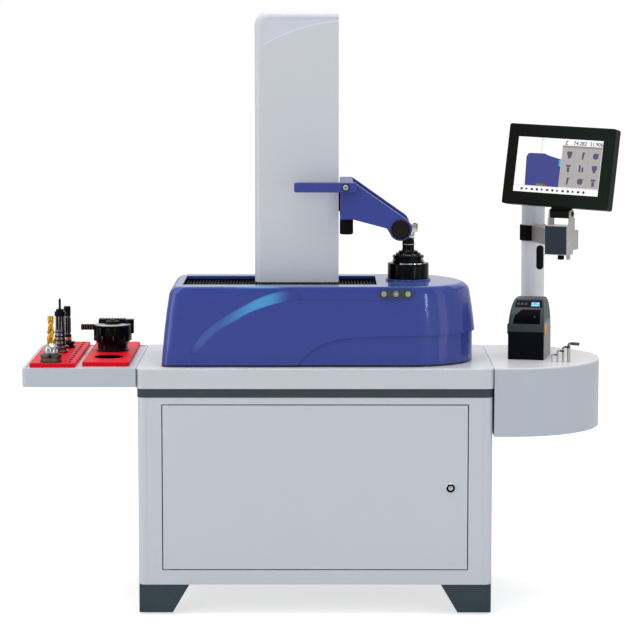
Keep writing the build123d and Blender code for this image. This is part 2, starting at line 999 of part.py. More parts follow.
def arm(y_back):
    """One arm of the carrier, between y_back and the arm's thickness in front of it."""
    with BuildPart() as piece:
        with BuildSketch(facing(y_back, 0, base_top)):
            with BuildLine():
                Polyline(
                    (bridge_x0, root_low + 3),
                    (bridge_x0, root_top),
                    (bridge_x1, root_top),
                    (lens_x + 16, lens_up + 28),
                    (lens_x, lens_up),
                    (lens_x - 30, lens_up - 11),
                    (lens_x - 39, lens_up + 3),
                    (bridge_x1, root_low),
                    (bridge_x0, root_low),
                    close=True,
                )
            make_face()
            disc(lens_x, lens_up, nose_r)
            disc(lens_x, lens_up, barrel_r + barrel_clear, Mode.SUBTRACT)
        extrude(amount=arm_t)
        rim = piece.faces().filter_by(Axis.Y).sort_by(Axis.Y)
        chamfer(rim[0].outer_wire().edges() + rim[-1].outer_wire().edges(), 0.8)
    return piece


front_blank = arm(axis_y - arm_gap_half)
rear_arm = arm(axis_y + arm_gap_half + arm_t)
arm_front = axis_y - arm_gap_half - arm_t
pivot_z = base_top + handle_up
with BuildPart() as front_arm:
    add(front_blank.part)
    rod(facing(arm_front + 15), pivot_x, pivot_z, pivot_r, 15, Mode.SUBTRACT)

# Light source in the front arm and camera in the rear arm, on one line past the tool

lens_z = base_top + lens_up
with BuildPart() as lamp_housing:
    rod(facing(arm_front + arm_t + barrel_in), lens_x, lens_z, barrel_r, arm_t + barrel_in)
    rod(facing(arm_front), lens_x, lens_z, cap_r, cap_proud)
    chamfer(lamp_housing.edges().group_by(Axis.Y)[0], 1.2)
    rod(facing(arm_front + arm_t + barrel_in), lens_x, lens_z, barrel_r - 4, 3, Mode.SUBTRACT)

rear_face = axis_y + arm_gap_half
with BuildPart() as camera_barrel:
    rod(facing(rear_face + arm_t), lens_x, lens_z, barrel_r, arm_t + barrel_in)
    rod(facing(rear_face + arm_t + camera_len), lens_x, lens_z, camera_r, camera_len)
    rod(facing(rear_face + arm_t + cap_proud), lens_x, lens_z, cap_r, cap_proud)
    rod(facing(rear_face - barrel_in + 3), lens_x, lens_z, barrel_r - 4, 3, Mode.SUBTRACT)

# Release handle in front of the column, on its pivot screw

handle_back = arm_front - handle_clear
with BuildPart() as release_handle:
    with BuildSketch(facing(handle_back)) as outline:
        span(handle_x0, handle_x1, pivot_z - handle_h / 2, pivot_z + handle_h / 2)
        fillet(outline.vertices(), handle_h / 5)
        disc(pivot_x, pivot_z, pivot_r + running, Mode.SUBTRACT)
    extrude(amount=handle_t)
    fillet(release_handle.faces().filter_by(Axis.Y).sort_by(Axis.Y)[0].outer_wire().edges(), 3)

with BuildPart() as pivot_screw:
    rod(facing(arm_front + 15), pivot_x, pivot_z, pivot_r, 15 + handle_clear + handle_t + rail_clear)
    rod(facing(handle_back - handle_t - rail_clear), pivot_x, pivot_z, pivot_head_r, pivot_head_t)
    fillet(pivot_screw.edges().group_by(Axis.Y)[0], 1)

# Fine adjustment knob under the bridge

knob_top = base_top + root_low - rail_clear
with BuildPart() as fine_knob:
    rod(level(knob_top - knob_len), knob_x, knob_y, knob_r, knob_len)
    fillet(fine_knob.edges().group_by(Axis.Z)[0], 5)
    rod(level(knob_top), knob_x, knob_y, knob_shaft_r, 18)
    with BuildSketch(level(knob_top - knob_len + 8, knob_x, knob_y)):
        with PolarLocations(knob_r + 1.2, 18):
            Circle(2.2)
    extrude(amount=knob_len - 14, mode=Mode.SUBTRACT)

# Console on the right: a half-round box with its own top

console_x = table_w / 2
console_low = table_z - console_top_t - console_h


def console_outline(inset):
    """The console's half-round outline in the open sketch."""
    span(console_x + inset, console_x + console_run, -console_r + inset, console_r - inset)
    disc(console_x + console_run, 0, console_r - inset)
    span(console_x - 2 * console_r, console_x + inset, -console_r, console_r, Mode.SUBTRACT)


with BuildPart() as console_shell:
    with BuildSketch(level(console_low)):
        console_outline(0)
    extrude(amount=console_h)
    with BuildSketch(level(console_low + sheet)):
        console_outline(sheet)
    extrude(amount=console_h, mode=Mode.SUBTRACT)

with BuildPart() as console_top:
    with BuildSketch(level(table_z - console_top_t)):
        console_outline(0)
    extrude(amount=console_top_t)
    fillet(console_top.faces().sort_by(Axis.Z)[-1].edges(), console_edge)
    for k, size in enumerate(key_sizes):
        rod(
            level(table_z - console_top_t),
            key_x + k * key_pitch,
            key_y,
            size / sqrt(3) + key_clear,
            console_top_t,
            Mode.SUBTRACT,
        )

# Hexagon keys that stand in the console's top

with BuildPart() as hex_keys:
    for k, size in enumerate(key_sizes):
        foot = (mid_x + key_x + k * key_pitch, key_y, table_z - console_top_t + 0.5)
        with BuildLine() as path:
            FilletPolyline(
                foot,
                (foot[0], foot[1], table_z + key_heights[k]),
                (
                    foot[0] + key_legs[k] * cos(radians(key_turn)),
                    foot[1] + key_legs[k] * sin(radians(key_turn)),
                    table_z + key_heights[k],
                ),
                radius=size,
            )
        with BuildSketch(Plane(origin=foot, x_dir=(1, 0, 0), z_dir=(0, 0, 1))):
            RegularPolygon(size / sqrt(3), 6)
        sweep(path=path.line)

# Label printer: an open body, a hinged lid and the platen roller

printer_plane = turned(printer_x, printer_y, table_z, printer_turn)
half_w = printer_w / 2
half_l = printer_d / 2
lid_pin_y = half_l + lid_pin_back
lid_pin_up = printer_base_h + lid_gap / 2


def printer_side(x, up=0.0):
    """An upright plane across the printer, local x to its back and local y up."""
    place = printer_plane.from_local_coords(Vector(x, 0, up))
    return Plane(origin=place, x_dir=printer_plane.y_dir, z_dir=printer_plane.x_dir)


with BuildPart() as printer_body:
    with BuildSketch(printer_plane):
        RectangleRounded(printer_w, printer_d, 6)
    extrude(amount=printer_base_h)
    with BuildSketch(printer_plane.offset(printer_wall)):
        RectangleRounded(printer_w - 2 * printer_wall, printer_d - 2 * printer_wall, 3)
    extrude(amount=printer_base_h, mode=Mode.SUBTRACT)
    with BuildSketch(printer_side(-half_w + printer_wall)):
        disc(-half_l + 22, printer_base_h - 12, 9)
    extrude(amount=6)
    with BuildSketch(printer_side(half_w - printer_wall - 6)):
        disc(-half_l + 22, printer_base_h - 12, 9)
    extrude(amount=6)
    with BuildSketch(printer_side(-half_w)):
        disc(-half_l + 22, printer_base_h - 12, 2.5 + running)
    extrude(amount=printer_w, mode=Mode.SUBTRACT)
    latch_front = -half_l + latch_in
    for foot, tongue in ((-half_w - latch_w, -half_w - latch_w), (half_w, half_w + latch_clear)):
        with BuildSketch(printer_side(foot)):
            span(latch_front, latch_front + latch_l, latch_low, printer_base_h)
        extrude(amount=latch_w)
        with BuildSketch(printer_side(tongue)):
            span(latch_front, latch_front + latch_l, latch_low, latch_top)
        extrude(amount=latch_w - latch_clear)
    for start in (-knuckle_x - knuckle_l, knuckle_x):
        with BuildSketch(printer_side(start)):
            disc(lid_pin_y, lid_pin_up, knuckle_r)
            span(half_l - 1, lid_pin_y, lid_pin_up - knuckle_r, printer_base_h)
        extrude(amount=knuckle_l)
    with BuildSketch(printer_side(-knuckle_x - knuckle_l)):
        disc(lid_pin_y, lid_pin_up, lid_pin_r)
    extrude(amount=2 * (knuckle_x + knuckle_l))

with BuildPart() as platen_roller:
    with BuildSketch(printer_side(-half_w + printer_wall + 7)):
        disc(-half_l + 22, printer_base_h - 12, platen_r)
    extrude(amount=printer_w - 2 * printer_wall - 14)
    with BuildSketch(printer_side(-half_w + 1)):
        disc(-half_l + 22, printer_base_h - 12, 2.5)
    extrude(amount=printer_w - 2)


def lid_body(inset):
    """The lid's outer form, or its inside when inset by the wall: it narrows and leans back."""
    with BuildPart() as body:
        for share, front, back, side in lid_levels:
            height = printer_base_h + lid_gap + share * (printer_lid_h - inset)
            with BuildSketch(printer_plane.offset(height)) as outline:
                span(
                    -half_w + side + inset,
                    half_w - side - inset,
                    -half_l + front + inset,
                    half_l - back - inset,
                )
                fillet(outline.vertices(), 7 - inset)
        loft()
    return body


lid_outside = lid_body(0.0)
lid_inside = lid_body(printer_wall)
with BuildPart() as printer_lid:
    add(lid_outside.part)
    add(lid_inside.part, mode=Mode.SUBTRACT)
    with BuildSketch(printer_side(-knuckle_x + knuckle_gap)):
        disc(lid_pin_y, lid_pin_up, knuckle_r)
        span(half_l - 1, lid_pin_y, printer_base_h + lid_gap, lid_pin_up + knuckle_r)
        disc(lid_pin_y, lid_pin_up, lid_pin_r + running, Mode.SUBTRACT)
    extrude(amount=2 * (knuckle_x - knuckle_gap))

# Pole with its foot flange and the recess of the cable hole's cap

with BuildPart() as cap_recess:
    with BuildSketch(facing(pole_y, pole_x + pole_r * 0.55, table_z + pole_slot_up)):
        SlotOverall(pole_slot_h, pole_slot_w, rotation=90)
    extrude(amount=pole_r + 1)
    rod(level(table_z), pole_x, pole_y, pole_r - pole_slot_t, pole_h, Mode.SUBTRACT)

with BuildPart() as display_pole:
    rod(level(table_z), pole_x, pole_y, pole_r, pole_h)
    rod(level(table_z), pole_x, pole_y, pole_flange_r, pole_flange_t)
    rod(level(table_z + sheet), pole_x, pole_y, pole_r - pole_wall, pole_h - 2 * sheet, Mode.SUBTRACT)
    add(cap_recess.part, mode=Mode.SUBTRACT)

# The display's places: its face, the tilt hinge under it and the swivel below that

turn = radians(display_turn)
lean = radians(display_lean)
roll = radians(display_roll)
face_dir = Vector(sin(turn) * cos(lean), -cos(turn) * cos(lean), sin(lean))
level_dir = Vector(cos(turn), sin(turn), 0)
up_dir = face_dir.cross(level_dir)
side_dir = level_dir * cos(roll) + up_dir * sin(roll)
display_mid = Vector(mid_x + display_x, display_y, table_z + display_up)
display_face = Plane(origin=display_mid, x_dir=side_dir, z_dir=face_dir)
hinge_low = display_mid - up_dir * (display_h / 2 + hinge_drop) - face_dir * hinge_back
hinge_at = hinge_low + level_dir * hinge_side
swivel_face = Plane(
    origin=hinge_at, x_dir=level_dir, z_dir=Vector(sin(turn), -cos(turn), 0)
)
clamp_z = table_z + clamp_up
link_z = clamp_z + clamp_h / 2
swivel_z = link_z - swivel_drop
link_x = hinge_at.X - mid_x - pole_x
link_y = hinge_at.Y - pole_y
link_len = hypot(link_x, link_y)
link_plane = Plane(
    origin=(mid_x + pole_x, pole_y, link_z - link_h / 2),
    x_dir=(link_x, link_y, 0),
    z_dir=(0, 0, 1),
)

# Clamp round the pole with the link that carries the swivel

with BuildPart() as pole_clamp:
    rod(level(clamp_z), pole_x, pole_y, clamp_r, clamp_h)
    with BuildSketch(link_plane):
        span(0, link_len, -link_w / 2, link_w / 2)
        disc(link_len, 0, eye_r)
    extrude(amount=link_h)
    with BuildSketch(link_plane.offset((link_h - clamp_h) / 2)):
        span(0, link_len - link_web_end, -link_w / 2, link_w / 2)
    extrude(amount=clamp_h)
    rod(level(clamp_z), pole_x, pole_y, pole_r + running, clamp_h, Mode.SUBTRACT)
    with BuildSketch(link_plane):
        disc(link_len, 0, swivel_pin_r + running)
    extrude(amount=link_h, mode=Mode.SUBTRACT)

# Swivel block with its pin, its clamp knob and the two ears of the tilt hinge

ear_rise = hinge_at.Z - swivel_z - swivel_h
swivel_base = Plane(origin=(hinge_at.X, hinge_at.Y, swivel_z), x_dir=level_dir, z_dir=(0, 0, 1))
slot_low = link_z - link_h / 2 - link_clear - swivel_z
with BuildPart() as swivel_block:
    with BuildSketch(swivel_base):
        span(-swivel_w / 2, swivel_w / 2, -swivel_front, swivel_mid)
    extrude(amount=swivel_h)
    with BuildSketch(swivel_base.offset(swivel_back_low)):
        span(-swivel_w / 2, swivel_w / 2, swivel_mid, swivel_back)
    extrude(amount=swivel_back_h)
    with BuildSketch(swivel_base.offset(slot_low)):
        span(-swivel_w, swivel_w / 2 - swivel_wall, -eye_r - 1.5, swivel_back + 1)
    extrude(amount=link_h + 2 * link_clear, mode=Mode.SUBTRACT)
    with BuildSketch(swivel_base):
        disc(0, 0, swivel_pin_r)
    extrude(amount=swivel_back_h)
    with BuildSketch(swivel_base.offset(-14)):
        disc(swivel_w / 2 - 7, -8, 6)
    extrude(amount=14)

    for hand in (-1, 1):
        edge = hand * swivel_w / 2
        inner = edge - hand * leg_w
        ear_plane = Plane(
            origin=swivel_face.from_local_coords(Vector(min(edge, inner), 0, 0)),
            x_dir=-swivel_face.z_dir,
            z_dir=level_dir,
        )
        with BuildSketch(ear_plane):
            span(-leg_t / 2, leg_t / 2, -ear_rise - swivel_h / 4, -hinge_r)
            span(-hinge_r - 1, hinge_r + 1, -hinge_r, 0)
            disc(0, 0, hinge_r + 1)
            disc(0, 0, hinge_pin_r, Mode.SUBTRACT)
        extrude(amount=leg_w)

# Hinge bar between the ears, on which the display tilts

with BuildPart() as hinge_bar:
    bar_plane = Plane(
        origin=swivel_face.from_local_coords(Vector(-swivel_w / 2 - 2, 0, 0)),
        x_dir=-swivel_face.z_dir,
        z_dir=level_dir,
    )
    with BuildSketch(bar_plane):
        disc(0, 0, hinge_pin_r)
    extrude(amount=swivel_w + 4)
    with BuildSketch(bar_plane.offset(2 + leg_w + rail_clear)):
        disc(0, 0, hinge_r - 1)
    extrude(amount=swivel_w - 2 * leg_w - 2 * rail_clear)

# Display: a deep housing with a lug down to the hinge bar, and the screen in it

lug_half = swivel_w / 2 - leg_w - 2 * rail_clear
with BuildPart() as display_housing:
    with BuildSketch(display_face.offset(-display_t)):
        RectangleRounded(display_w, display_h, 6)
    extrude(amount=display_t)
    chamfer(display_housing.faces().sort_by(Axis((0, 0, 0), face_dir))[-1].edges(), display_edge)
    with BuildSketch(display_face.offset(-display_t - 14)):
        with Locations((0, -10)):
            RectangleRounded(display_w * 0.62, display_h * 0.6, 12)
    extrude(amount=15, taper=-8)
    with BuildSketch(display_face.offset(-screen_t)):
        Rectangle(screen_w + seam, screen_h + seam)
    extrude(amount=screen_t + 1, mode=Mode.SUBTRACT)
    lug_plane = Plane(origin=hinge_at - level_dir * lug_half, x_dir=-face_dir, z_dir=level_dir)
    with BuildSketch(lug_plane):
        disc(0, 0, hinge_r + 1.5)
        span(-8, 8, 0, hinge_drop + 20)
        disc(0, 0, hinge_r - 1 + running, Mode.SUBTRACT)
    extrude(amount=2 * lug_half)

with BuildPart() as display_screen:
    with BuildSketch(display_face.offset(-screen_t)):
        Rectangle(screen_w, screen_h)
    extrude(amount=screen_t - 0.8)

# Tray on the left and the red inserts in it

tray_top = table_z - tray_drop
tray_x0 = -table_w / 2 - tray_w
tray_x1 = -table_w / 2
with BuildPart() as tool_tray:
    bar(level(tray_top - tray_h), tray_x0, tray_x1, -tray_half_d, tray_half_d, tray_h)
    fillet(tool_tray.edges().filter_by(Axis.Z).group_by(Axis.X)[0], 14)
    fillet(tool_tray.faces().sort_by(Axis.Z)[0].edges().group_by(Axis.X)[0], 3)
    bar(
        level(tray_top - tray_recess),
        tray_x0 + tray_rim,
        tray_x1 - tray_rim,
        -tray_half_d + tray_rim,
        tray_half_d - tray_rim,
        tray_recess,
        Mode.SUBTRACT,
    )
    bar(
        level(tray_top - tray_h),
        tray_x0 + tray_rim,
        tray_x1 - tray_rim,
        -tray_half_d + tray_rim,
        tray_half_d - tray_rim,
        tray_h - tray_recess - sheet,
        Mode.SUBTRACT,
    )

insert_z = tray_top - tray_recess
with BuildPart() as tray_inserts:
    for mid, width, front in (
        (left_insert_x, left_insert_w, insert_y0),
        (right_insert_x, right_insert_w, right_insert_y0),
    ):
        bar(level(insert_z), mid - width / 2, mid + width / 2, front, insert_y1, insert_h)
    fillet(tray_inserts.edges().filter_by(Axis.Z), 5)
    chamfer(tray_inserts.faces().filter_by(Axis.Z).group_by(Axis.Z)[-1].edges(), 1.5)
    for x, y in pockets:
        rod(level(insert_z), x, y, pocket_r, insert_h, Mode.SUBTRACT)
    for y in disc_ys:
        rod(level(insert_z), right_insert_x, y, disc_pocket_r, insert_h, Mode.SUBTRACT)
    peg_pitch = (insert_y1 - insert_y0 - 60) / (peg_count - 1)
    for k in range(peg_count):
        rod(level(insert_z + 5), peg_x, insert_y0 + 30 + k * peg_pitch, peg_r, insert_h, Mode.SUBTRACT)


def turned_tool(x, y, profile):
    """A turned solid of the open part that stands in a pocket, by its (radius, height) steps."""
    with BuildSketch(facing(y, x, insert_z)) as outline:
        with BuildLine():
            Polyline((0, 0), *profile, (0, profile[-1][1]), close=True)
        make_face()
    revolve(outline.sketch, axis=Axis((mid_x + x, y, 0), (0, 0, 1)))


shank_r = pocket_r - shank_clear
seat = insert_h + shank_clear
with BuildPart() as collet_chuck:
    chuck_steps = (
        (shank_r, 0),
        (shank_r, seat),
        (30, seat),
        (30, seat + 8),
        (26, seat + 10),
        (26, seat + 12),
        (30, seat + 14),
        (30, seat + 22),
        (21, seat + 22),
        (19, seat + 44),
        (11, seat + 52),
        (9, seat + 52),
        (9, seat + 130),
    )
    turned_tool(*pockets[0], chuck_steps)

with BuildPart() as arbors:
    long_steps = (
        (shank_r, 0),
        (shank_r, seat),
        (24, seat),
        (24, seat + 20),
        (16, seat + 24),
        (13, seat + 76),
        (13, seat + 110),
        (11.5, seat + 110),
        (11.5, seat + 126),
        (3.5, seat + 128),
        (3.5, seat + 157),
    )
    short_steps = (
        (shank_r, 0),
        (shank_r, seat),
        (22, seat),
        (22, seat + 18),
        (12, seat + 22),
        (12, seat + 38),
        (9.5, seat + 40),
        (9.5, seat + 93),
        (10.5, seat + 93),
        (10.5, seat + 121),
        (9, seat + 123),
    )
    turned_tool(*pockets[2], long_steps)
    turned_tool(*pockets[3], short_steps)

with BuildPart() as disc_cutter:
    disc_steps = (
        (disc_pocket_r - shank_clear, 0),
        (disc_pocket_r - shank_clear, seat),
        (47, seat),
        (47, seat + 24),
        (55, seat + 30),
        (55, seat + 73),
        (50, seat + 77),
        (20, seat + 77),
        (20, seat + 86),
    )
    turned_tool(right_insert_x, disc_ys[1], disc_steps)
    bar(level(insert_z + seat + 77, right_insert_x, disc_ys[1]), -42, 36, 14, 44, 12)
    bar(level(insert_z + seat + 48, right_insert_x, disc_ys[1]), 36, 61, 4, 34, 41)
    bar(level(insert_z + seat + 60, right_insert_x, disc_ys[1]), -92, -44, -8, 16, 16)
    with BuildSketch(level(insert_z + seat + 32, right_insert_x, disc_ys[1])):
        with PolarLocations(56.5, 10, start_angle=18):
            Rectangle(9, 9)
    extrude(amount=26, mode=Mode.SUBTRACT)

pieces = {
    **sides,
    "front_frame": front_frame,
    "door": door,
    "door_lock": door_lock,
    "lock_cam": lock_cam,
    "back_panel": back_panel,
    "cabinet_floors": cabinet_floors,
    "control_computer": control_computer,
    "feet": feet,
    "foot_pads": foot_pads,
    "spacer_board": spacer_board,
    "tabletop": tabletop,
    "machine_bed": machine_bed,
    "x_rails": x_rails,
    "base_cover": base_cover,
    "button_panel": button_panel,
    **buttons,
    "spindle_housing": spindle_housing,
    "spindle_rotor": spindle_rotor,
    "tool_holder": tool_holder,
    "boring_head": boring_head,
    "saddle": saddle,
    "saddle_blocks": saddle_blocks,
    "column_beam": column_beam,
    "column_cover": column_cover,
    "z_rails": z_rails,
    "z_blocks": z_blocks,
    "carriage_plate": carriage_plate,
    **bellows,
    "arm_bridge": arm_bridge,
    "front_arm": front_arm,
    "rear_arm": rear_arm,
    "lamp_housing": lamp_housing,
    "camera_barrel": camera_barrel,
    "release_handle": release_handle,
    "pivot_screw": pivot_screw,
    "fine_knob": fine_knob,
    "console_shell": console_shell,
    "console_top": console_top,
    "hex_keys": hex_keys,
    "printer_body": printer_body,
    "platen_roller": platen_roller,
    "printer_lid": printer_lid,
    "display_pole": display_pole,
    "pole_clamp": pole_clamp,
    "swivel_block": swivel_block,
    "hinge_bar": hinge_bar,
    "display_housing": display_housing,
    "display_screen": display_screen,
    "tool_tray": tool_tray,
    "tray_inserts": tray_inserts,
    "collet_chuck": collet_chuck,
    "arbors": arbors,
    "disc_cutter": disc_cutter,
}
os.makedirs("parts", exist_ok=True)
for name, piece in pieces.items():
    piece.part.label = name
    export_step(piece.part, f"parts/{name}.step")
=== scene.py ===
from math import cos, pi, radians, sin, sqrt

import bmesh
import bpy
from mathutils import Matrix, Vector
from mathutils.bvhtree import BVHTree


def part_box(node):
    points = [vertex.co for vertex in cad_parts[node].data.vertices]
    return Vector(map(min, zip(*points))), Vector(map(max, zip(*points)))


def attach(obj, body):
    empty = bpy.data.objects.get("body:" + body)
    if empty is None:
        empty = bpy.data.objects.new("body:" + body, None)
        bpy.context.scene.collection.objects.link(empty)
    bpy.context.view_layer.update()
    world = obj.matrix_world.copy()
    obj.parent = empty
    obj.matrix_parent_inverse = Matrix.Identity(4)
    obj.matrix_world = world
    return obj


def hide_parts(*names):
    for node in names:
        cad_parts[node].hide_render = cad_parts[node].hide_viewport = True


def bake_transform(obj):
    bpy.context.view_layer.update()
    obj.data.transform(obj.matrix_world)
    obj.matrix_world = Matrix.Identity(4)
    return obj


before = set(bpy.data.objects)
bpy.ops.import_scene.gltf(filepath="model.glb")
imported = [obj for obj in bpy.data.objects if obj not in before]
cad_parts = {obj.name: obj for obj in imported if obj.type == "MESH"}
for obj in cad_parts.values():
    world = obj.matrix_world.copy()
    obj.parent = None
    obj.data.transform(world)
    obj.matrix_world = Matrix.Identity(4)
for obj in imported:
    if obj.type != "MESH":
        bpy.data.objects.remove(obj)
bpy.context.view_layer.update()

# A tool presetter on its cabinet. Places are in millimetres: x from the middle of the
# cabinet, y to the back, z from the floor. The pieces' meshes are in metres.

MM = 0.001


def box_mm(node):
    """A node's lowest and highest corners in millimetres."""
    low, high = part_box(node)
    return low / MM, high / MM


table_low, table_high = box_mm("tabletop")
mid = (table_low.x + table_high.x) / 2
table_left = table_low.x - mid
table_z = table_high.z
base_low, base_high = box_mm("base_cover")
base_top = base_high.z
column_low, column_high = box_mm("column_cover")
spindle_low, spindle_high = box_mm("spindle_rotor")


# Places


def middle(node):
    """A node's middle, with x from the middle of the cabinet."""
    low, high = box_mm(node)
    return (low + high) / 2 - Vector((mid, 0, 0))


def spot(x, y, z, turn=0.0):
    """A level place: local z is up and the local -y side faces the user, turned about z."""
    return Matrix.Translation(Vector((mid + x, y, z)) * MM) @ Matrix.Rotation(radians(turn), 4, "Z")


def at_spindle(z, turn=0.0):
    """A level place on the spindle's axis."""
    axis = middle("spindle_rotor")
    return spot(axis.x, axis.y, z, turn)


def facing(x, y, z):
    """An upright place: local x to the right, local y up and local z towards the user."""
    return spot(x, y, z) @ Matrix.Rotation(radians(90), 4, "X")


def on_front(node, back=0.0):
    """An upright place at the middle of a node's front, or so far behind it."""
    centre = middle(node)
    return facing(centre.x, box_mm(node)[0].y + back, centre.z)


def axes(origin, x_dir, z_dir):
    """A place at an origin in millimetres of the frame, by two of its directions."""
    y_dir = z_dir.cross(x_dir)
    turn = Matrix((x_dir, y_dir, z_dir)).transposed().to_4x4()
    return Matrix.Translation(origin * MM) @ turn


# Mesh tools. They add closed forms, in millimetres, to an open bmesh shape.


def block(shape, x0, x1, y0, y1, z0, z1):
    """A box between three pairs of sides."""
    centre = Vector((x0 + x1, y0 + y1, z0 + z1)) / 2
    size = Vector((x1 - x0, y1 - y0, z1 - z0))
    bmesh.ops.create_cube(shape, size=1, matrix=Matrix.LocRotScale(centre, None, size))


def row(shape, outline, z):
    """A row of corners: an outline at one height."""
    return [shape.verts.new((x, y, z)) for x, y in outline]


def walls(shape, low, high):
    """The faces between two closed rows of corners."""
    for k in range(len(low)):
        n = (k + 1) % len(low)
        shape.faces.new((low[k], low[n], high[n], high[k]))


def prism(shape, outline, z0, z1):
    """A flat outline raised from z0 to z1."""
    low, high = row(shape, outline, z0), row(shape, outline, z1)
    shape.faces.new(low)
    shape.faces.new(high)
    walls(shape, low, high)


def round_outline(radius, sides, x=0.0, y=0.0, start=0.0):
    """The corners of a regular outline."""
    return [
        (x + radius * cos(start + 2 * pi * k / sides), y + radius * sin(start + 2 * pi * k / sides))
        for k in range(sides)
    ]


def pill_outline(width, height, radius, x=0.0, y=0.0, steps=5):
    """A rectangle with round corners."""
    points = []
    for side_x, side_y, start in ((1, 1, 0), (-1, 1, 90), (-1, -1, 180), (1, -1, 270)):
        corner_x = x + side_x * (width / 2 - radius)
        corner_y = y + side_y * (height / 2 - radius)
        for k in range(steps + 1):
            angle = radians(start + 90 * k / steps)
            points.append((corner_x + radius * cos(angle), corner_y + radius * sin(angle)))
    return points


def lathe(shape, profile, sides=64, x=0.0, y=0.0):
    """A turned form about an upright axis, by its (radius, z) steps from one end to the other."""
    rings = []
    for radius, z in profile:
        outline = round_outline(radius, sides, x, y) if radius > 0 else [(x, y)]
        rings.append(row(shape, outline, z))
    for low, high in zip(rings, rings[1:]):
        for k in range(sides):
            n = k + 1
            corners = (low[k % len(low)], low[n % len(low)], high[n % len(high)], high[k % len(high)])
            shape.faces.new(list(dict.fromkeys(corners)))
    for ring in (rings[0], rings[-1]):
        if len(ring) > 1:
            shape.faces.new(ring)


def ring_form(shape, inner, outer, z0, z1, sides=64):
    """A flat ring or sleeve about an upright axis."""
    corners = ((inner, z0), (outer, z0), (outer, z1), (inner, z1))
    rings = [row(shape, round_outline(radius, sides), z) for radius, z in corners]
    for a, b in zip(rings, rings[1:] + rings[:1]):
        walls(shape, a, b)


def box_outline(left, right, low, high):
    """The four corners of a flat box."""
    return [(left, low), (right, low), (right, high), (left, high)]


def polar_outline(corners):
    """Corners by their angle, in degrees from the right, and their distance from the middle."""
    return [(radius * cos(radians(angle)), radius * sin(radians(angle))) for angle, radius in corners]


def sector_outline(inner, outer, first, last, steps=12):
    """A part of a flat ring, between two angles counted from the front towards the right."""
    angles = [first + (last - first) * k / steps - 90 for k in range(steps + 1)]
    return polar_outline([(a, outer) for a in angles] + [(a, inner) for a in reversed(angles)])


def twisted(shape, outline, levels):
    """A bar whose outline turns and grows, by (z, turn in degrees, size) levels."""
    rings = []
    for z, turn, size in levels:
        c, s = cos(radians(turn)) * size, sin(radians(turn)) * size
        rings.append(row(shape, [(x * c - y * s, x * s + y * c) for x, y in outline], z))
    for low, high in zip(rings, rings[1:]):
        walls(shape, low, high)
    shape.faces.new(rings[0])
    shape.faces.new(rings[-1])


def round_edges(shape, width, angle=35.0):
    """Rounds the edges that are sharper than the angle."""
    bmesh.ops.recalc_face_normals(shape, faces=shape.faces)
    sharp = [e for e in shape.edges if len(e.link_faces) == 2 and e.calc_face_angle() > radians(angle)]
    settings = {"segments": 2, "profile": 0.5, "affect": "EDGES", "clamp_overlap": True}
    bmesh.ops.bevel(shape, geom=sharp, offset=width, **settings)


def add_form(shape, form, place):
    """Sets a finished form at a local place and adds it to a shape."""
    form.transform(place)
    held = bpy.data.meshes.new("form")
    form.to_mesh(held)
    form.free()
    shape.from_mesh(held)
    bpy.data.meshes.remove(held)


def piece(name, shape, place, body, finish, replaces=(), smooth=35.0):
    """Turns a shape into a named object that rides on a body."""
    bmesh.ops.recalc_face_normals(shape, faces=shape.faces)
    shape.transform(place @ Matrix.Scale(MM, 4))
    mesh = bpy.data.meshes.new(name)
    shape.to_mesh(mesh)
    shape.free()
    mesh.shade_smooth()
    mesh.set_sharp_from_angle(angle=radians(smooth))
    made = bpy.data.objects.new(name, mesh)
    bpy.context.scene.collection.objects.link(made)
    mesh.materials.append(finish)
    if body:
        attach(made, body)
    if replaces:
        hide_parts(*replaces)
    return made


def turned(name, profile, place, body, finish, sides=48):
    """A piece that is one turned form."""
    shape = bmesh.new()
    lathe(shape, profile, sides)
    piece(name, shape, place, body, finish)


def raised(name, outlines, z0, z1, place, body, finish):
    """A piece of flat outlines, all raised from z0 to z1."""
    shape = bmesh.new()
    for outline in outlines:
        prism(shape, outline, z0, z1)
    piece(name, shape, place, body, finish)


# Shader tools


class Socket:
    """A shader output that takes part in sums. Each sum adds its Math node."""

    def __init__(self, shader, output):
        self.shader = shader
        self.output = output

    def math(self, operation, first, second=0.0):
        return self.shader.node("Math", {"operation": operation}, {0: first, 1: second})

    def __add__(self, other):
        return self.math("ADD", self, other)

    def __radd__(self, other):
        return self.math("ADD", other, self)

    def __sub__(self, other):
        return self.math("SUBTRACT", self, other)

    def __rsub__(self, other):
        return self.math("SUBTRACT", other, self)

    def __mul__(self, other):
        return self.math("MULTIPLY", self, other)

    def __rmul__(self, other):
        return self.math("MULTIPLY", other, self)

    def __abs__(self):
        return self.math("ABSOLUTE", self)


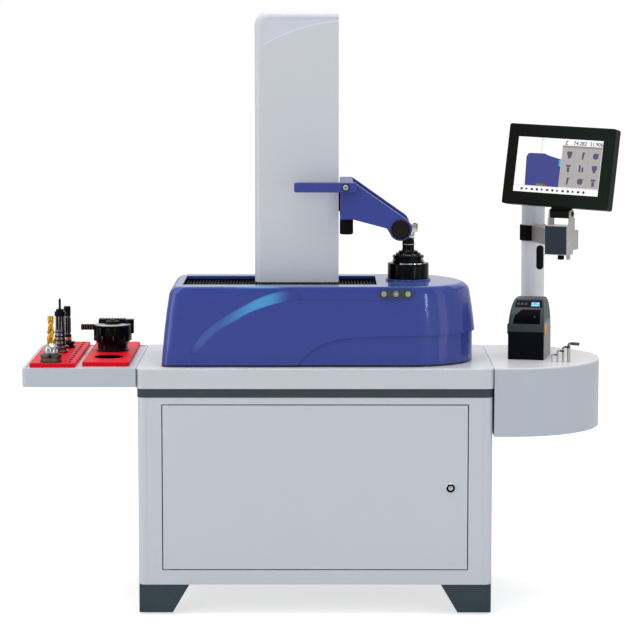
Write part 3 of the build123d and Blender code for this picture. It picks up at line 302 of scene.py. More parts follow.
class Shader:
    """The nodes of a material or of the world."""

    def __init__(self, owner):
        owner.use_nodes = True
        self.owner = owner
        self.tree = owner.node_tree
        self.tree.nodes.clear()

    def node(self, kind, settings=None, inputs=None, output=0):
        """Adds a node of a type, with its settings first and then its sockets' values or links."""
        made = self.tree.nodes.new("ShaderNode" + kind)
        for key, value in (settings or {}).items():
            setattr(made, key, value)
        for key, value in (inputs or {}).items():
            if isinstance(value, Socket):
                self.tree.links.new(value.output, made.inputs[key])
            else:
                made.inputs[key].default_value = value
        if isinstance(output, tuple):
            return [Socket(self, made.outputs[name]) for name in output]
        return Socket(self, made.outputs[output]) if len(made.outputs) else None

    def place(self):
        """The point on the piece, in metres of the frame at rest."""
        return self.node("TexCoord", output="Object")

    def parts(self, vector):
        return self.node("SeparateXYZ", inputs={0: vector}, output=("X", "Y", "Z"))

    def stretch(self, vector, x, y, z):
        return self.node("VectorMath", {"operation": "MULTIPLY"}, {0: vector, 1: (x, y, z)})

    def distance(self, first, second):
        return self.node("VectorMath", {"operation": "DISTANCE"}, {0: first, 1: second}, output="Value")

    def noise(self, vector, scale, detail=2.0):
        inputs = {"Vector": vector, "Scale": scale, "Detail": detail}
        return self.node("TexNoise", inputs=inputs, output="Fac")

    def step(self, value, low, high, first=0.0, last=1.0):
        """A smooth change from first to last as the value goes from low to high."""
        inputs = {"Value": value, "From Min": low, "From Max": high, "To Min": first, "To Max": last}
        return self.node("MapRange", {"interpolation_type": "SMOOTHSTEP"}, inputs)

    def edge(self, value, low, high, first=0.0, last=1.0):
        """A step between two places in millimetres of the frame."""
        return self.step(value, low * MM, high * MM, first, last)

    def mix(self, factor, first, second):
        return self.node("Mix", {"data_type": "RGBA"}, {0: factor, 6: first, 7: second}, output=2)

    def bump(self, height, strength, depth):
        inputs = {"Strength": strength, "Distance": depth, "Height": height}
        return self.node("Bump", inputs=inputs, output="Normal")

    def surface(self, inputs):
        """The principled surface and the material's output."""
        made = self.node("BsdfPrincipled", inputs=inputs)
        self.node("OutputMaterial", inputs={"Surface": made})
        return self.owner


def rgb(red, green, blue):
    """A colour as it is seen, from 0 to 255, as linear numbers."""

    def linear(c):
        c = c / 255
        return c / 12.92 if c <= 0.04045 else ((c + 0.055) / 1.055) ** 2.4

    return (linear(red), linear(green), linear(blue), 1.0)


def shade(colour, factor):
    """A colour made darker or lighter."""
    return tuple(min(c * factor, 1.0) for c in colour[:3]) + (1.0,)


def material(name):
    """The nodes of a new material."""
    return Shader(bpy.data.materials.new(name))


# Finishes


def powder_coat(name, colour, roughness=0.4, peel=0.12, tint=None):
    """Sprayed and baked paint on sheet metal: a fine orange peel and a slow drift of tone."""
    shader = material(name)
    where = shader.place()
    drift = shader.noise(where, 2.2, 2.0)
    grain = shader.noise(where, 620.0, 2.0)
    tone = shader.mix(drift, shade(colour, 0.975), shade(colour, 1.025))
    tone = tint(shader, where, tone) if tint else tone
    return shader.surface(
        {
            "Base Color": tone,
            "Roughness": roughness + (grain - 0.5) * 0.08 + (drift - 0.5) * 0.05,
            "Normal": shader.bump(grain, peel, 0.00012),
            "Coat Weight": 0.12,
            "Coat Roughness": 0.18,
        }
    )


def moulded(name, colour, roughness=0.45, grain_size=1400.0, depth=0.0001, coat=0.0, sheen=0.3, tint=None):
    """Moulded plastic with a fine spark-eroded grain."""
    shader = material(name)
    where = shader.place()
    grain = shader.noise(where, grain_size, 3.0)
    drift = shader.noise(where, 9.0, 2.0)
    tone = shader.mix(drift, shade(colour, 0.9), shade(colour, 1.1))
    tone = tint(shader, where, tone) if tint else tone
    return shader.surface(
        {
            "Base Color": tone,
            "Roughness": roughness + (grain - 0.5) * 0.14,
            "Specular IOR Level": sheen,
            "Normal": shader.bump(grain, 0.25, depth),
            "Coat Weight": coat,
            "Coat Roughness": 0.1,
        }
    )


def machined(name, colour, roughness=0.28, lines=(60.0, 60.0, 2600.0), wear=0.12, tint=None):
    """Turned or ground metal: fine lines from the tool, and a few duller patches."""
    shader = material(name)
    where = shader.place()
    marks = shader.noise(shader.stretch(where, *lines), 1.0, 3.0)
    patches = shader.noise(where, 45.0, 3.0)
    tone = shader.mix(shader.step(patches, 0.35, 0.7), shade(colour, 0.86), colour)
    tone = tint(shader, where, tone) if tint else tone
    return shader.surface(
        {
            "Base Color": tone,
            "Metallic": 1.0,
            "Roughness": roughness + (marks - 0.5) * 0.16 + (patches - 0.5) * wear,
            "Normal": shader.bump(marks, 0.12, 0.00006),
        }
    )


def black_oxide(name, colour, roughness=0.3):
    """Blackened steel with an oily sheen and worn grey places."""
    shader = material(name)
    where = shader.place()
    patches = shader.noise(where, 70.0, 4.0)
    fine = shader.noise(where, 900.0, 2.0)
    worn = shader.step(patches, 0.6, 0.8)
    return shader.surface(
        {
            "Base Color": shader.mix(worn * 0.4, colour, rgb(80, 78, 78)),
            "Metallic": 0.75,
            "Roughness": roughness + (patches - 0.5) * 0.2,
            "Specular IOR Level": 0.2,
            "Normal": shader.bump(fine, 0.15, 0.00005),
            "Coat Weight": 0.06,
            "Coat Roughness": 0.12,
        }
    )


# The painted shadow line along the foot of the machine base is this high.
painted_shadow_h = 5.0
# Where along x the painted highlight in the base's front hollow is brightest, how far it rises and falls
# off, and how far above the tabletop it starts.
sweep_x = -150.0
sweep_rise = 130.0
sweep_fall = 80.0
sweep_foot = 30.0


def base_lacquer(name, colour, hollow_painted_light, glow):
    """The machine base's blue lacquer, with a painted highlight in the long hollow that sweeps up its front,
    a painted reflection along its top edge and a painted shadow line at its foot.
    """
    shader = material(name)
    where = shader.place()
    x, y, z = shader.parts(where)
    front = base_low.y
    hollow = shader.edge(y, front + 1.2, front + 1.8) * shader.edge(y, front + 6, front + 4)
    foot_z, bright_x = table_z + sweep_foot, mid + sweep_x
    hollow = hollow * shader.edge(z, foot_z, foot_z + 40)
    rise = shader.edge(x, bright_x - sweep_rise, bright_x)
    fall = shader.edge(x, bright_x + 5, bright_x + 5 + sweep_fall, 1.0, 0.0)
    # The top edge's mask, for its painted reflection and a thicker coat.
    top = shader.edge(z, base_top - 3, base_top - 1)
    top = top * shader.edge(z, base_top + 0.6, base_top + 1.2, 1.0, 0.0)
    grain = shader.noise(where, 520.0, 2.0)
    drift = shader.noise(where, 3.0, 2.0)
    tone = shader.mix(drift, shade(colour, 0.94), shade(colour, 1.06))
    # Painted highlight: the hollow is painted lighter, standing in for the light its sloping floor catches.
    tone = shader.mix(hollow * fall * 0.8, tone, hollow_painted_light)
    # Painted highlight: a brighter cyan glint painted where the hollow is brightest.
    tone = shader.mix(hollow * rise * fall * 0.85, tone, glow)
    # Painted reflection: the top edge is painted pale cyan, standing in for the white surround it reflects.
    tone = shader.mix(top * 0.12, tone, rgb(150, 205, 236))
    # Painted shadow: a near-black line along the base's foot, standing in for the shade of the gap under it.
    painted_shadow_line = shader.edge(z, table_z + painted_shadow_h, table_z + painted_shadow_h + 1, 1.0, 0.0)
    tone = shader.mix(painted_shadow_line, tone, rgb(9, 10, 22))
    return shader.surface(
        {
            "Base Color": tone,
            "Roughness": 0.36 + (grain - 0.5) * 0.06,
            "Specular IOR Level": 0.25,
            "Normal": shader.bump(grain, 0.1, 0.0001),
            "Coat Weight": 0.42 + top * 0.4,
            "Coat Roughness": 0.07,
        }
    )


def rubbed(name, colour, roughness=0.7):
    """Rubber with a dusty bloom."""
    shader = material(name)
    where = shader.place()
    bloom = shader.noise(where, 160.0, 4.0)
    return shader.surface(
        {
            "Base Color": shader.mix(bloom * 0.3, colour, shade(colour, 2.2)),
            "Roughness": roughness + (bloom - 0.5) * 0.2,
            "Normal": shader.bump(bloom, 0.2, 0.0002),
        }
    )


def pleated_cloth(name, colour):
    """Coated bellows cloth with a fine weave."""
    shader = material(name)
    where = shader.place()
    weave = shader.noise(shader.stretch(where, 300.0, 2200.0, 300.0), 1.0, 2.0)
    return shader.surface(
        {
            "Base Color": shader.mix(weave, shade(colour, 0.7), shade(colour, 1.3)),
            "Roughness": 0.5 + (weave - 0.5) * 0.2,
            "Normal": shader.bump(weave, 0.3, 0.0002),
        }
    )


def laminate(name, colour):
    """The dark board's edge: a matt skin with a faint lengthwise figure."""
    shader = material(name)
    where = shader.place()
    figure = shader.noise(shader.stretch(where, 6.0, 6.0, 240.0), 1.0, 3.0)
    return shader.surface(
        {
            "Base Color": shader.mix(figure, shade(colour, 0.85), shade(colour, 1.15)),
            "Roughness": 0.5 + (figure - 0.5) * 0.15,
            "Specular IOR Level": 0.15,
            "Normal": shader.bump(figure, 0.1, 0.0001),
        }
    )


def lit(name, colour, strength=1.0, glow=0.06):
    """A lit part of a screen, brighter in slow patches as a backlight is."""
    shader = material(name)
    where = shader.place()
    drift = shader.noise(where, 12.0, 1.0)
    tone = shader.mix(drift, shade(colour, 1 - glow), colour)
    return shader.surface(
        {
            "Base Color": (0.01, 0.01, 0.01, 1.0),
            "Roughness": 0.3 + (drift - 0.5) * 0.05,
            "Specular IOR Level": 0.15,
            "Emission Color": tone,
            "Emission Strength": strength,
        }
    )


def circle_through(a, b, c):
    """The centre and radius of the circle through three points."""
    turn = Matrix(((b - a) * 2, (c - a) * 2))
    squares = Vector((b.length_squared - a.length_squared, c.length_squared - a.length_squared))
    centre = turn.inverted() @ squares
    return centre, (centre - a).length


crease_steps = ((24.0, 96.0), (132.0, 48.5), (237.0, 29.5))


def crease_tone_and_painted_highlight(shader, where, tone):
    """The column's cover is a touch bluer above its crease, and a painted highlight runs along the crease's
    edge, standing in for the light its rounded edge catches.

    The crease is an arc through three steps in from the cover's left side and down from its top.
    """
    left, top, front = column_low.x, column_high.z, column_low.y
    centre, radius = circle_through(*[Vector((left + run, top - down)) for run, down in crease_steps])
    x, y = shader.parts(where)[:2]
    flat_place = shader.stretch(where, 1, 0, 1)
    out = shader.distance(flat_place, (centre.x * MM, 0, centre.y * MM)) - radius * MM
    inside = shader.edge(x, left + 23, left + 24) * shader.edge(y, front + 2, front + 1.2)
    above = shader.edge(out, -0.4, 0.4)
    line = shader.edge(abs(out), 0.9, 1.6, 1.0, 0.0)
    tone = shader.mix(above * inside * 0.6, tone, rgb(200, 201, 216))
    # Painted highlight: a light line along the crease, standing in for the light its rounded edge catches.
    return shader.mix(line * inside * 0.6, tone, rgb(226, 227, 232))


def pole_tint(shader, where, tone):
    """The pole's upper length, above the clamp, is a darker tube."""
    z = shader.parts(where)[2]
    clamp_top = box_mm("pole_clamp")[1].z
    upper = shader.edge(z, clamp_top - 1, clamp_top)
    return shader.mix(upper, tone, rgb(188, 191, 197))


def bezel_painted_highlight(shader, where, tone):
    """The bezel goes from plain black at its left to a lighter, greener black at its right: a painted
    highlight on its right side.
    """
    x = shader.parts(where)[0]
    low, high = box_mm("display_housing")
    across = shader.edge(x, low.x, high.x)
    return shader.mix(across, rgb(18, 18, 14), tone)


def leg_tint(shader, where, tone):
    """The keys' bent legs are darker than their standing shanks."""
    y = shader.parts(where)[1]
    shank_y = box_mm("hex_keys")[1].y - 10
    leg = shader.edge(y, shank_y - 2, shank_y, 1.0, 0.0)
    return shader.mix(leg, tone, rgb(86, 76, 68))


printer_turn = -12.0
printer_x = 617.0
printer_y = -5.0
printer_w = 104.0
printer_d = 160.0
printer_body_h = 79.0


def printer_side_painted_light(shader, where, tone):
    """The printer's two sides are painted a mid grey on its black, standing in for the light they catch:
    painted light.
    """
    x, y = shader.parts(where)[:2]
    turn = radians(printer_turn)
    across = (x - (mid + printer_x) * MM) * cos(turn) + (y - printer_y * MM) * sin(turn)
    side = shader.edge(abs(across), printer_w / 2 - 1.2, printer_w / 2 - 0.4)
    return shader.mix(side, tone, rgb(124, 126, 126))


white_paint = powder_coat("column_paint", rgb(195, 197, 204), tint=crease_tone_and_painted_highlight)
cabinet_paint = powder_coat("cabinet_paint", rgb(196, 199, 208))
table_paint = powder_coat("table_paint", rgb(197, 199, 206), 0.34)
console_paint = powder_coat("console_paint", rgb(181, 187, 196), 0.36)
# Painted light: the console's top is a lighter copy of its paint, standing in for the light from above.
console_top_painted_lighter = powder_coat("console_top_painted_lighter", rgb(208, 208, 211), 0.36)
# Its last two colours are painted light: the lighter tone of the front hollow and its brighter highlight.
blue_lacquer = base_lacquer("base_lacquer", rgb(46, 62, 142), rgb(66, 92, 166), rgb(74, 158, 216))
arm_paint = powder_coat("arm_paint", rgb(42, 57, 139), 0.34)
board = laminate("board_edge", rgb(58, 69, 75))
foot_paint = moulded("foot_paint", rgb(56, 68, 76), 0.5, sheen=0.15)
pad_rubber = rubbed("pad_rubber", rgb(28, 28, 28))
computer_paint = powder_coat("computer_paint", rgb(40, 42, 46), 0.5)
cast_iron = machined("cast_iron", rgb(120, 122, 125), 0.5, (300.0, 300.0, 300.0))
ground_steel = machined("ground_steel", rgb(190, 192, 196), 0.22, (40.0, 2600.0, 2600.0))
turned_steel = machined("turned_steel", rgb(188, 186, 184), 0.24)
faced_steel = machined("faced_steel", rgb(206, 208, 210), 0.5)
arbor_steel = machined("arbor_steel", rgb(128, 118, 118), 0.26)
hex_steel = machined("hex_steel", rgb(214, 210, 206), 0.34, tint=leg_tint)
bright_steel = machined("bright_steel", rgb(220, 220, 222), 0.12)
dark_steel = machined("dark_steel", rgb(92, 86, 78), 0.38)
bellows_cloth = pleated_cloth("bellows_cloth", rgb(9, 9, 10))
panel_plastic = moulded("panel_plastic", rgb(59, 62, 68), 0.4)
button_plastic = moulded("button_plastic", rgb(118, 119, 128), 0.35)
button_green = moulded("button_green", rgb(82, 146, 88), 0.35)
icon_white = moulded("icon_white", rgb(196, 198, 204), 0.5)
spindle_black = black_oxide("spindle_black", rgb(9, 9, 10), 0.26)
tool_black = black_oxide("tool_black", rgb(12, 11, 11), 0.28)
optics_black = moulded("optics_black", rgb(35, 27, 26), 0.5, sheen=0.08)
matt_black = moulded("matt_black", rgb(9, 9, 10), 0.55, sheen=0.08)
window_black = moulded("window_black", rgb(3, 4, 6), 0.4, sheen=0.03)
printer_black = moulded("printer_black", rgb(6, 9, 16), 0.3, sheen=0.06, tint=printer_side_painted_light)
printer_grey = moulded("printer_grey", rgb(48, 57, 63), 0.4, sheen=0.25, tint=printer_side_painted_light)
bezel_black = moulded("bezel_black", rgb(20, 30, 25), 0.32, sheen=0.06, tint=bezel_painted_highlight)
# Painted light: the pole's grey is lighter than its own paint, standing in for light that the display above
# keeps off it.
pole_paint_with_painted_light = powder_coat("pole_paint_with_painted_light", rgb(224, 224, 227), 0.3, tint=pole_tint)
clamp_paint = powder_coat("clamp_paint", rgb(122, 117, 111), 0.38)
bracket_paint = powder_coat("bracket_paint", rgb(178, 175, 170), 0.38)
bracket_dark = moulded("bracket_dark", rgb(40, 50, 62), 0.42, sheen=0.15)
gold_coat = machined("gold_coat", rgb(224, 170, 60), 0.2)
copper_ring = machined("copper_ring", rgb(222, 186, 166), 0.34)
red_insert = moulded("red_insert", rgb(214, 12, 30), 0.42, 900.0, sheen=0.12)
orange_latch = moulded("orange_latch", rgb(236, 158, 44), 0.4)
peg_blue = moulded("peg_blue", rgb(32, 34, 66), 0.45)
lens_glass = moulded("lens_glass", rgb(26, 22, 24), 0.06, coat=1.0)
screen_white = lit("screen_white", rgb(253, 253, 255), glow=0.01)
screen_blue = lit("screen_blue", rgb(62, 68, 139))
screen_grey = lit("screen_grey", rgb(178, 175, 172))
screen_header = lit("screen_header", rgb(150, 147, 146))
screen_ink = lit("screen_ink", rgb(44, 46, 92))
screen_sign = lit("screen_sign", rgb(84, 86, 120))
screen_cyan = lit("screen_cyan", rgb(80, 178, 216))
screen_green = lit("screen_green", rgb(96, 140, 62))
screen_red = lit("screen_red", rgb(176, 46, 60))
lcd_blue = lit("lcd_blue", rgb(96, 190, 236))
lcd_light = lit("lcd_light", rgb(216, 240, 252))

dressing = (
    (cabinet_paint, "side_left side_right front_frame back_panel cabinet_floors door"),
    (table_paint, "tabletop"),
    (console_paint, "tool_tray console_shell"),
    (console_top_painted_lighter, "console_top"),
    (board, "spacer_board"),
    (foot_paint, "feet"),
    (pad_rubber, "foot_pads platen_roller"),
    (computer_paint, "control_computer"),
    (cast_iron, "machine_bed saddle column_beam"),
    (ground_steel, "x_rails saddle_blocks z_rails z_blocks lock_cam"),
    (blue_lacquer, "base_cover spindle_housing"),
    (arm_paint, "arm_bridge front_arm rear_arm release_handle"),
    (white_paint, "column_cover"),
    (panel_plastic, "button_panel"),
    (button_plastic, "button_stop button_page"),
    (button_green, "button_start"),
    (spindle_black, "spindle_rotor"),
    (tool_black, "tool_holder"),
    (optics_black, "lamp_housing camera_barrel"),
    (matt_black, "carriage_plate fine_knob hinge_bar"),
    (bright_steel, "pivot_screw door_lock boring_head"),
    (hex_steel, "hex_keys"),
    (pole_paint_with_painted_light, "display_pole"),
    (clamp_paint, "pole_clamp"),
    (bracket_paint, "swivel_block"),
    (bezel_black, "display_housing"),
    (screen_white, "display_screen"),
    (printer_black, "printer_body"),
    (printer_grey, "printer_lid"),
    (red_insert, "tray_inserts"),
)
rounded = {"front_frame": 0.8, "spacer_board": 0.8, "console_shell": 0.6, "display_housing": 0.6}


# The construction's own nodes: welded, smooth across their round faces, and painted


def weld_and_smooth(limit):
    """A modifier tree that welds a mesh and shades it smooth except at its real edges."""
    tree = bpy.data.node_groups.new("weld_and_smooth", "GeometryNodeTree")
    for way in ("INPUT", "OUTPUT"):
        tree.interface.new_socket("Geometry", in_out=way, socket_type="NodeSocketGeometry")
    kinds = ["NodeGroupInput", "GeometryNodeMergeByDistance"]
    kinds += ["GeometryNodeSetShadeSmooth", "GeometryNodeSetShadeSmooth", "NodeGroupOutput"]
    nodes = [tree.nodes.new(kind) for kind in kinds]
    nodes[1].inputs["Distance"].default_value = 0.002 * MM
    nodes[2].domain = "FACE"
    nodes[3].domain = "EDGE"
    nodes[3].inputs["Shade Smooth"].default_value = False
    for first, second in zip(nodes, nodes[1:]):
        tree.links.new(first.outputs[0], second.inputs[0])
    angle = tree.nodes.new("GeometryNodeInputMeshEdgeAngle")
    sharp = tree.nodes.new("FunctionNodeCompare")
    sharp.operation = "GREATER_THAN"
    sharp.inputs[1].default_value = radians(limit)
    tree.links.new(angle.outputs[0], sharp.inputs[0])
    tree.links.new(sharp.outputs[0], nodes[3].inputs["Selection"])
    return tree


def dress(limit=32.0):
    """Gives every node its finish and its smooth shading."""
    tree = weld_and_smooth(limit)
    for finish, names in dressing:
        for name in names.split():
            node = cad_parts[name]
            for held in node.material_slots:
                held.material = finish
            normals = node.data.attributes.get("custom_normal")
            if normals:
                node.data.attributes.remove(normals)
            node.modifiers.new("weld", "NODES").node_group = tree
            if name in rounded:
                edge = node.modifiers.new("edge", "BEVEL")
                edge.width = rounded[name] * MM
                edge.segments = 2
                edge.limit_method = "ANGLE"
                edge.angle_limit = radians(50)
                edge.harden_normals = True
            else:
                weighted = node.modifiers.new("weighted", "WEIGHTED_NORMAL")
                weighted.keep_sharp = True


dress()


# Bellows: pleated skins between the frame and what moves


def bellows(name, along, pitch, sink=0.0):
    """A pleated skin in the place of its node, which it hides, with its place baked into its mesh."""
    low, high = box_mm(name)
    flat = along == "x"
    low.z -= sink
    high.z -= sink
    length = high.x - low.x if flat else high.z - low.z
    width = high.y - low.y
    height = high.z - low.z if flat else high.x - low.x
    count = round(length / pitch)
    step = length / count
    skin, fold, crest = 1.2, 0.6, 0.08 * step
    upper, lower = [(0, skin)], [(0, 0)]
    for k in range(count):
        top = (k + 0.5) * step
        upper += [(top - crest, height - fold), (top, height), (top + crest, height - fold)]
        lower.append((top, height - skin - 1))
        if k < count - 1:
            upper.append(((k + 1) * step, skin + fold))
            lower.append(((k + 1) * step, 0))
    shape = bmesh.new()
    prism(shape, upper + [(length, skin), (length, 0)] + lower[::-1], 0, width)
    if flat:
        place = axes(Vector((low.x, high.y, low.z)), Vector((1, 0, 0)), Vector((0, -1, 0)))
    else:
        place = axes(low, Vector((0, 0, 1)), Vector((0, 1, 0)))
    made = piece(name + "_skin", shape, place, None, bellows_cloth, (name,), 20.0)
    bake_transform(made)


bellows("bellows_left", "x", 9.0, 10.0)
bellows("bellows_right", "x", 9.0, 10.0)
bellows("column_bellows_low", "z", 11.0)
bellows("column_bellows_high", "z", 11.0)


# Display: its picture is a stack of thin plates, in millimetres on the screen

display_turn = radians(-30.0)
display_lean = radians(9.8)
display_roll = radians(-1.9)
screen_w = 264.0
screen_h = 157.0
screen_t = 3.2
bezel_step = 0.8
level_dir = Vector((cos(display_turn), sin(display_turn), 0))
towards_dir = Vector((sin(display_turn), -cos(display_turn), 0))
face_dir = towards_dir * cos(display_lean) + Vector((0, 0, sin(display_lean)))
side_dir = level_dir * cos(display_roll) + face_dir.cross(level_dir) * sin(display_roll)
screen_low, screen_high = box_mm("display_screen")
screen_mid = (screen_low + screen_high) / 2
face_place = axes(screen_mid + face_dir * (bezel_step + screen_t / 2), side_dir, face_dir)
screen_place = axes(screen_mid + face_dir * (screen_t / 2), side_dir, face_dir)
layer = 0.09


def on_screen(u, v):
    """A screen point from shares of its width, from the left, and of its height, from the top."""
    return ((u - 0.5) * screen_w, (0.5 - v) * screen_h)


def screen_box(u0, u1, v0, v1):
    """A box between shares of the screen's width and of its height."""
    left, top = on_screen(u0, v0)
    right, low = on_screen(u1, v1)
    return box_outline(left, right, low, top)


def screen_plate(name, outlines, level, finish):
    """Thin plates of one colour on the screen's face, above the plates of lower levels."""
    low, high = level * layer - 0.02, (level + 1) * layer
    raised(name, outlines, low, high, screen_place, "display", finish)


def screen_picture():
    """A measured edge in blue, a panel of tool shapes, a readout and a row of signs."""
    left = [(0.13, 0.88), (0.115, 0.37), (0.128, 0.31), (0.15, 0.29)]
    right = [(0.33, 0.285), (0.385, 0.32), (0.53, 0.375), (0.53, 0.88)]
    screen_plate("screen_edge", [[on_screen(u, v) for u, v in left + right]], 0, screen_blue)
    screen_plate("screen_panel", [screen_box(0.532, 0.995, 0.115, 0.875)], 0, screen_grey)
    screen_plate("screen_title", [screen_box(0.532, 0.995, 0.115, 0.155)], 1, screen_header)
    screen_plate("screen_mark", [screen_box(0.505, 0.53, 0.385, 0.5)], 1, screen_cyan)
    screen_plate("screen_bar_green", [screen_box(0.26, 0.345, 0.84, 0.872)], 1, screen_green)
    screen_plate("screen_bar_red", [screen_box(0.347, 0.385, 0.84, 0.872)], 1, screen_red)
    lines = [
        screen_box(0.285, 0.288, 0.0, 0.275),
        screen_box(0.25, 0.32, 0.03, 0.034),
        screen_box(0.0, 1.0, 0.885, 0.889),
    ]
    screen_plate("screen_lines", lines, 0, screen_header)
    grid = [screen_box(u, u + 0.003, 0.17, 0.87) for u in (0.685, 0.84)]
    grid += [screen_box(0.535, 0.99, v, v + 0.004) for v in (0.40, 0.635)]
    screen_plate("screen_grid", grid, 1, screen_header)


def tool_signs():
    """Nine small tool shapes in the panel, and the signs along the foot of the screen."""
    shapes = []
    for row in range(3):
        for column in range(3):
            x, y = on_screen(0.622 + 0.153 * column, 0.285 + 0.235 * row)
            kind = (row * 3 + column) % 5
            if kind == 0:
                right = [(x + 3, y - 10), (x + 8, y + 2), (x + 8, y + 10)]
                shapes.append([(x - 8, y + 10), (x - 8, y + 2), (x - 3, y - 10)] + right)
            elif kind == 1:
                right = [(x + 3, y - 11), (x + 5, y + 4), (x + 9, y + 9)]
                shapes.append([(x - 2, y - 11)] + right + [(x - 1, y + 10)])
            elif kind == 2:
                shapes.append(round_outline(9, 14, x, y))
                shapes.append([(x + 4, y + 6), (x + 13, y + 11), (x + 7, y + 3)])
            elif kind == 3:
                shapes.append(pill_outline(15, 6, 2, x, y + 6))
                shapes.append(pill_outline(8, 14, 2, x, y - 5))
            else:
                shapes.append(pill_outline(6, 20, 2, x - 5, y))
                shapes.append(pill_outline(6, 14, 2, x + 4, y - 3))
    screen_plate("screen_tools", shapes, 2, screen_sign)
    signs = []
    for k in range(13):
        x, y = on_screen(0.1 + 0.061 * k, 0.945)
        if k % 3 == 0:
            signs.append(round_outline(4.2, 6, x, y))
        elif k % 3 == 1:
            signs.append([(x - 4, y - 4), (x + 4, y), (x - 4, y + 4)])
        else:
            signs.append(pill_outline(8, 6, 1.5, x, y))
    screen_plate("screen_signs", signs, 1, screen_ink)


def readout(name, text, u):
    """Plain digits in the screen's top row, from a share of its width."""
    curve = bpy.data.curves.new(name, "FONT")
    curve.body = text
    curve.size = 15
    curve.extrude = layer / 2
    curve.offset = 0.25
    source = bpy.data.objects.new(name + "_text", curve)
    bpy.context.scene.collection.objects.link(source)
    bpy.context.view_layer.update()
    mesh = bpy.data.meshes.new_from_object(source)
    bpy.data.objects.remove(source)
    shape = bmesh.new()
    shape.from_mesh(mesh)
    x, y = on_screen(u, 0.1)
    bmesh.ops.translate(shape, verts=shape.verts, vec=(x, y, layer / 2))
    piece(name, shape, screen_place, "display", screen_ink)


screen_picture()
tool_signs()
readout("readout_axis", "Z", 0.555)
readout("readout_height", "74.282", 0.655)
readout("readout_radius", "31.906", 0.845)


def display_back():
    """Vent slots drawn as black plates, painted shade for their openings, a mounting plate and screws on the
    back of the display.
    """
    width, height, depth = 331.0, 231.0, 36.0
    inset, swell = 10.0, -14.0
    rear = face_place @ Matrix.Translation(Vector((0, 0, -depth)) * MM)
    # Painted shade: black plates stand in for the dark openings of the vent slots.
    vents = [pill_outline(3.0, 16, 1.4, (k - 6.5) * 8, y) for k in range(14) for y in (82, -92)]
    raised("display_vent_shade", vents, -0.6, 0.3, rear, "display", matt_black)
    shape = bmesh.new()
    head = ((0, 0.4), (3.4, 0.2), (3.4, -0.8), (2.6, -1.6), (0, -1.6))
    for x in (-1, 1):
        for y in (-1, 1):
            lathe(shape, head, 20, x * (width / 2 - inset), y * (height / 2 - inset))
    piece("display_screws", shape, rear, "display", turned_steel)
    shape = bmesh.new()
    prism(shape, pill_outline(100, 100, 6, 0, -10), swell - 1.6, swell + 0.2)
    round_edges(shape, 0.5)
    piece("display_mount_plate", shape, rear, "display", bracket_dark)
    shape = bmesh.new()
    head = ((0, -3.6), (3.0, -3.6), (4.0, -2.6), (4.0, -1.4), (0, -1.4))
    for x in (-42, 42):
        for y in (-52, 32):
            lathe(shape, [(radius, swell + z) for radius, z in head], 20, x, y)
    piece("display_mount_screws", shape, rear, "display", turned_steel)


display_back()


# The pole clamp's grip strip, the swivel's dark face and knob, and the pole's cable cap

pole_x = 641.0
pole_y = 195.0
pole_radius = 34.0
clamp_radius = 38.0
swivel_foot = Vector((678.306, -68.282, 999.5))


def clamp_grip():
    """A ribbed grip strip round the front left of the clamp."""
    low, high = box_mm("pole_clamp")
    first, last, ribs, edge = -88.0, -7.0, 22, 1.5
    corners = []
    for k in range(2 * ribs + 1):
        angle = first + (last - first) * k / (2 * ribs) - 90
        corners.append((angle, clamp_radius + (1.6 if k % 2 else 0.7)))
    for k in range(13):
        corners.append((last + (first - last) * k / 12 - 90, clamp_radius - 0.3))
    shape = bmesh.new()
    prism(shape, polar_outline(corners), edge, high.z - low.z - edge)
    place = spot(pole_x, pole_y, low.z)
    piece("clamp_grip", shape, place, "display_arm", matt_black, smooth=20.0)


def swivel_face():
    """The dark front plate of the swivel block, with a screw on its right side."""
    width, height, front = 68.0, 83.5, 36.0
    place = axes(swivel_foot + towards_dir * front, level_dir, towards_dir)
    plate = pill_outline(width - 1.5, height - 4, 1.5, 0, height / 2)
    raised("swivel_plate", [plate], -0.5, 0.7, place, "display_swivel", bracket_dark)
    side = axes(swivel_foot + level_dir * (width / 2), -towards_dir, level_dir)
    shape = bmesh.new()
    lathe(shape, ((0, 1.6), (3.2, 1.6), (4.2, 0.8), (4.2, -0.3), (0, -0.3)), 20, -22, 34)
    piece("swivel_screws", shape, side, "display_swivel", bright_steel)


def swivel_knob():
    """A black knob on the swivel pin's lower end."""
    place = spot(swivel_foot.x - mid, swivel_foot.y, box_mm("swivel_block")[0].z)
    knob = ((0, -1.5), (8.4, -1.5), (9.4, 0), (9.4, 9), (8.6, 12), (8.3, 16))
    turned("swivel_knob", knob, place, "display_swivel", matt_black, 32)


def rim(rows):
    """The corners once round a grid of corners."""
    right = [line[-1] for line in rows[1:-1]]
    left = [line[0] for line in rows[-2:0:-1]]
    return rows[0] + right + rows[-1][::-1] + left


def cable_cap():
    """The black cap in the pole's recess, curved as the pole is."""
    centre_x, width, height, rise = 0.55 * pole_radius, 21.5, 72.0, 271.0
    rows, across = 24, 10
    rims = []
    shape = bmesh.new()
    for lift in (0.35, -1.0):
        grow = (pole_radius + lift) / pole_radius
        sheet = []
        for i in range(rows + 1):
            up = -height / 2 + height * i / rows
            bend = max(abs(up) - (height / 2 - width / 2), 0)
            half = sqrt(max((width / 2) ** 2 - bend**2, 0.04))
            xs = [centre_x + half * (2 * j / across - 1) for j in range(across + 1)]
            line = [(x * grow, -sqrt(pole_radius**2 - x**2) * grow) for x in xs]
            sheet.append(row(shape, line, up))
        for low, high in zip(sheet, sheet[1:]):
            for j in range(across):
                shape.faces.new((low[j], low[j + 1], high[j + 1], high[j]))
        rims.append(rim(sheet))
    walls(shape, *rims)
    piece("cable_cap", shape, spot(pole_x, pole_y, table_z + rise), "frame", matt_black)


clamp_grip()
swivel_face()
swivel_knob()
cable_cap()


# Spindle, the tool in it and the optics


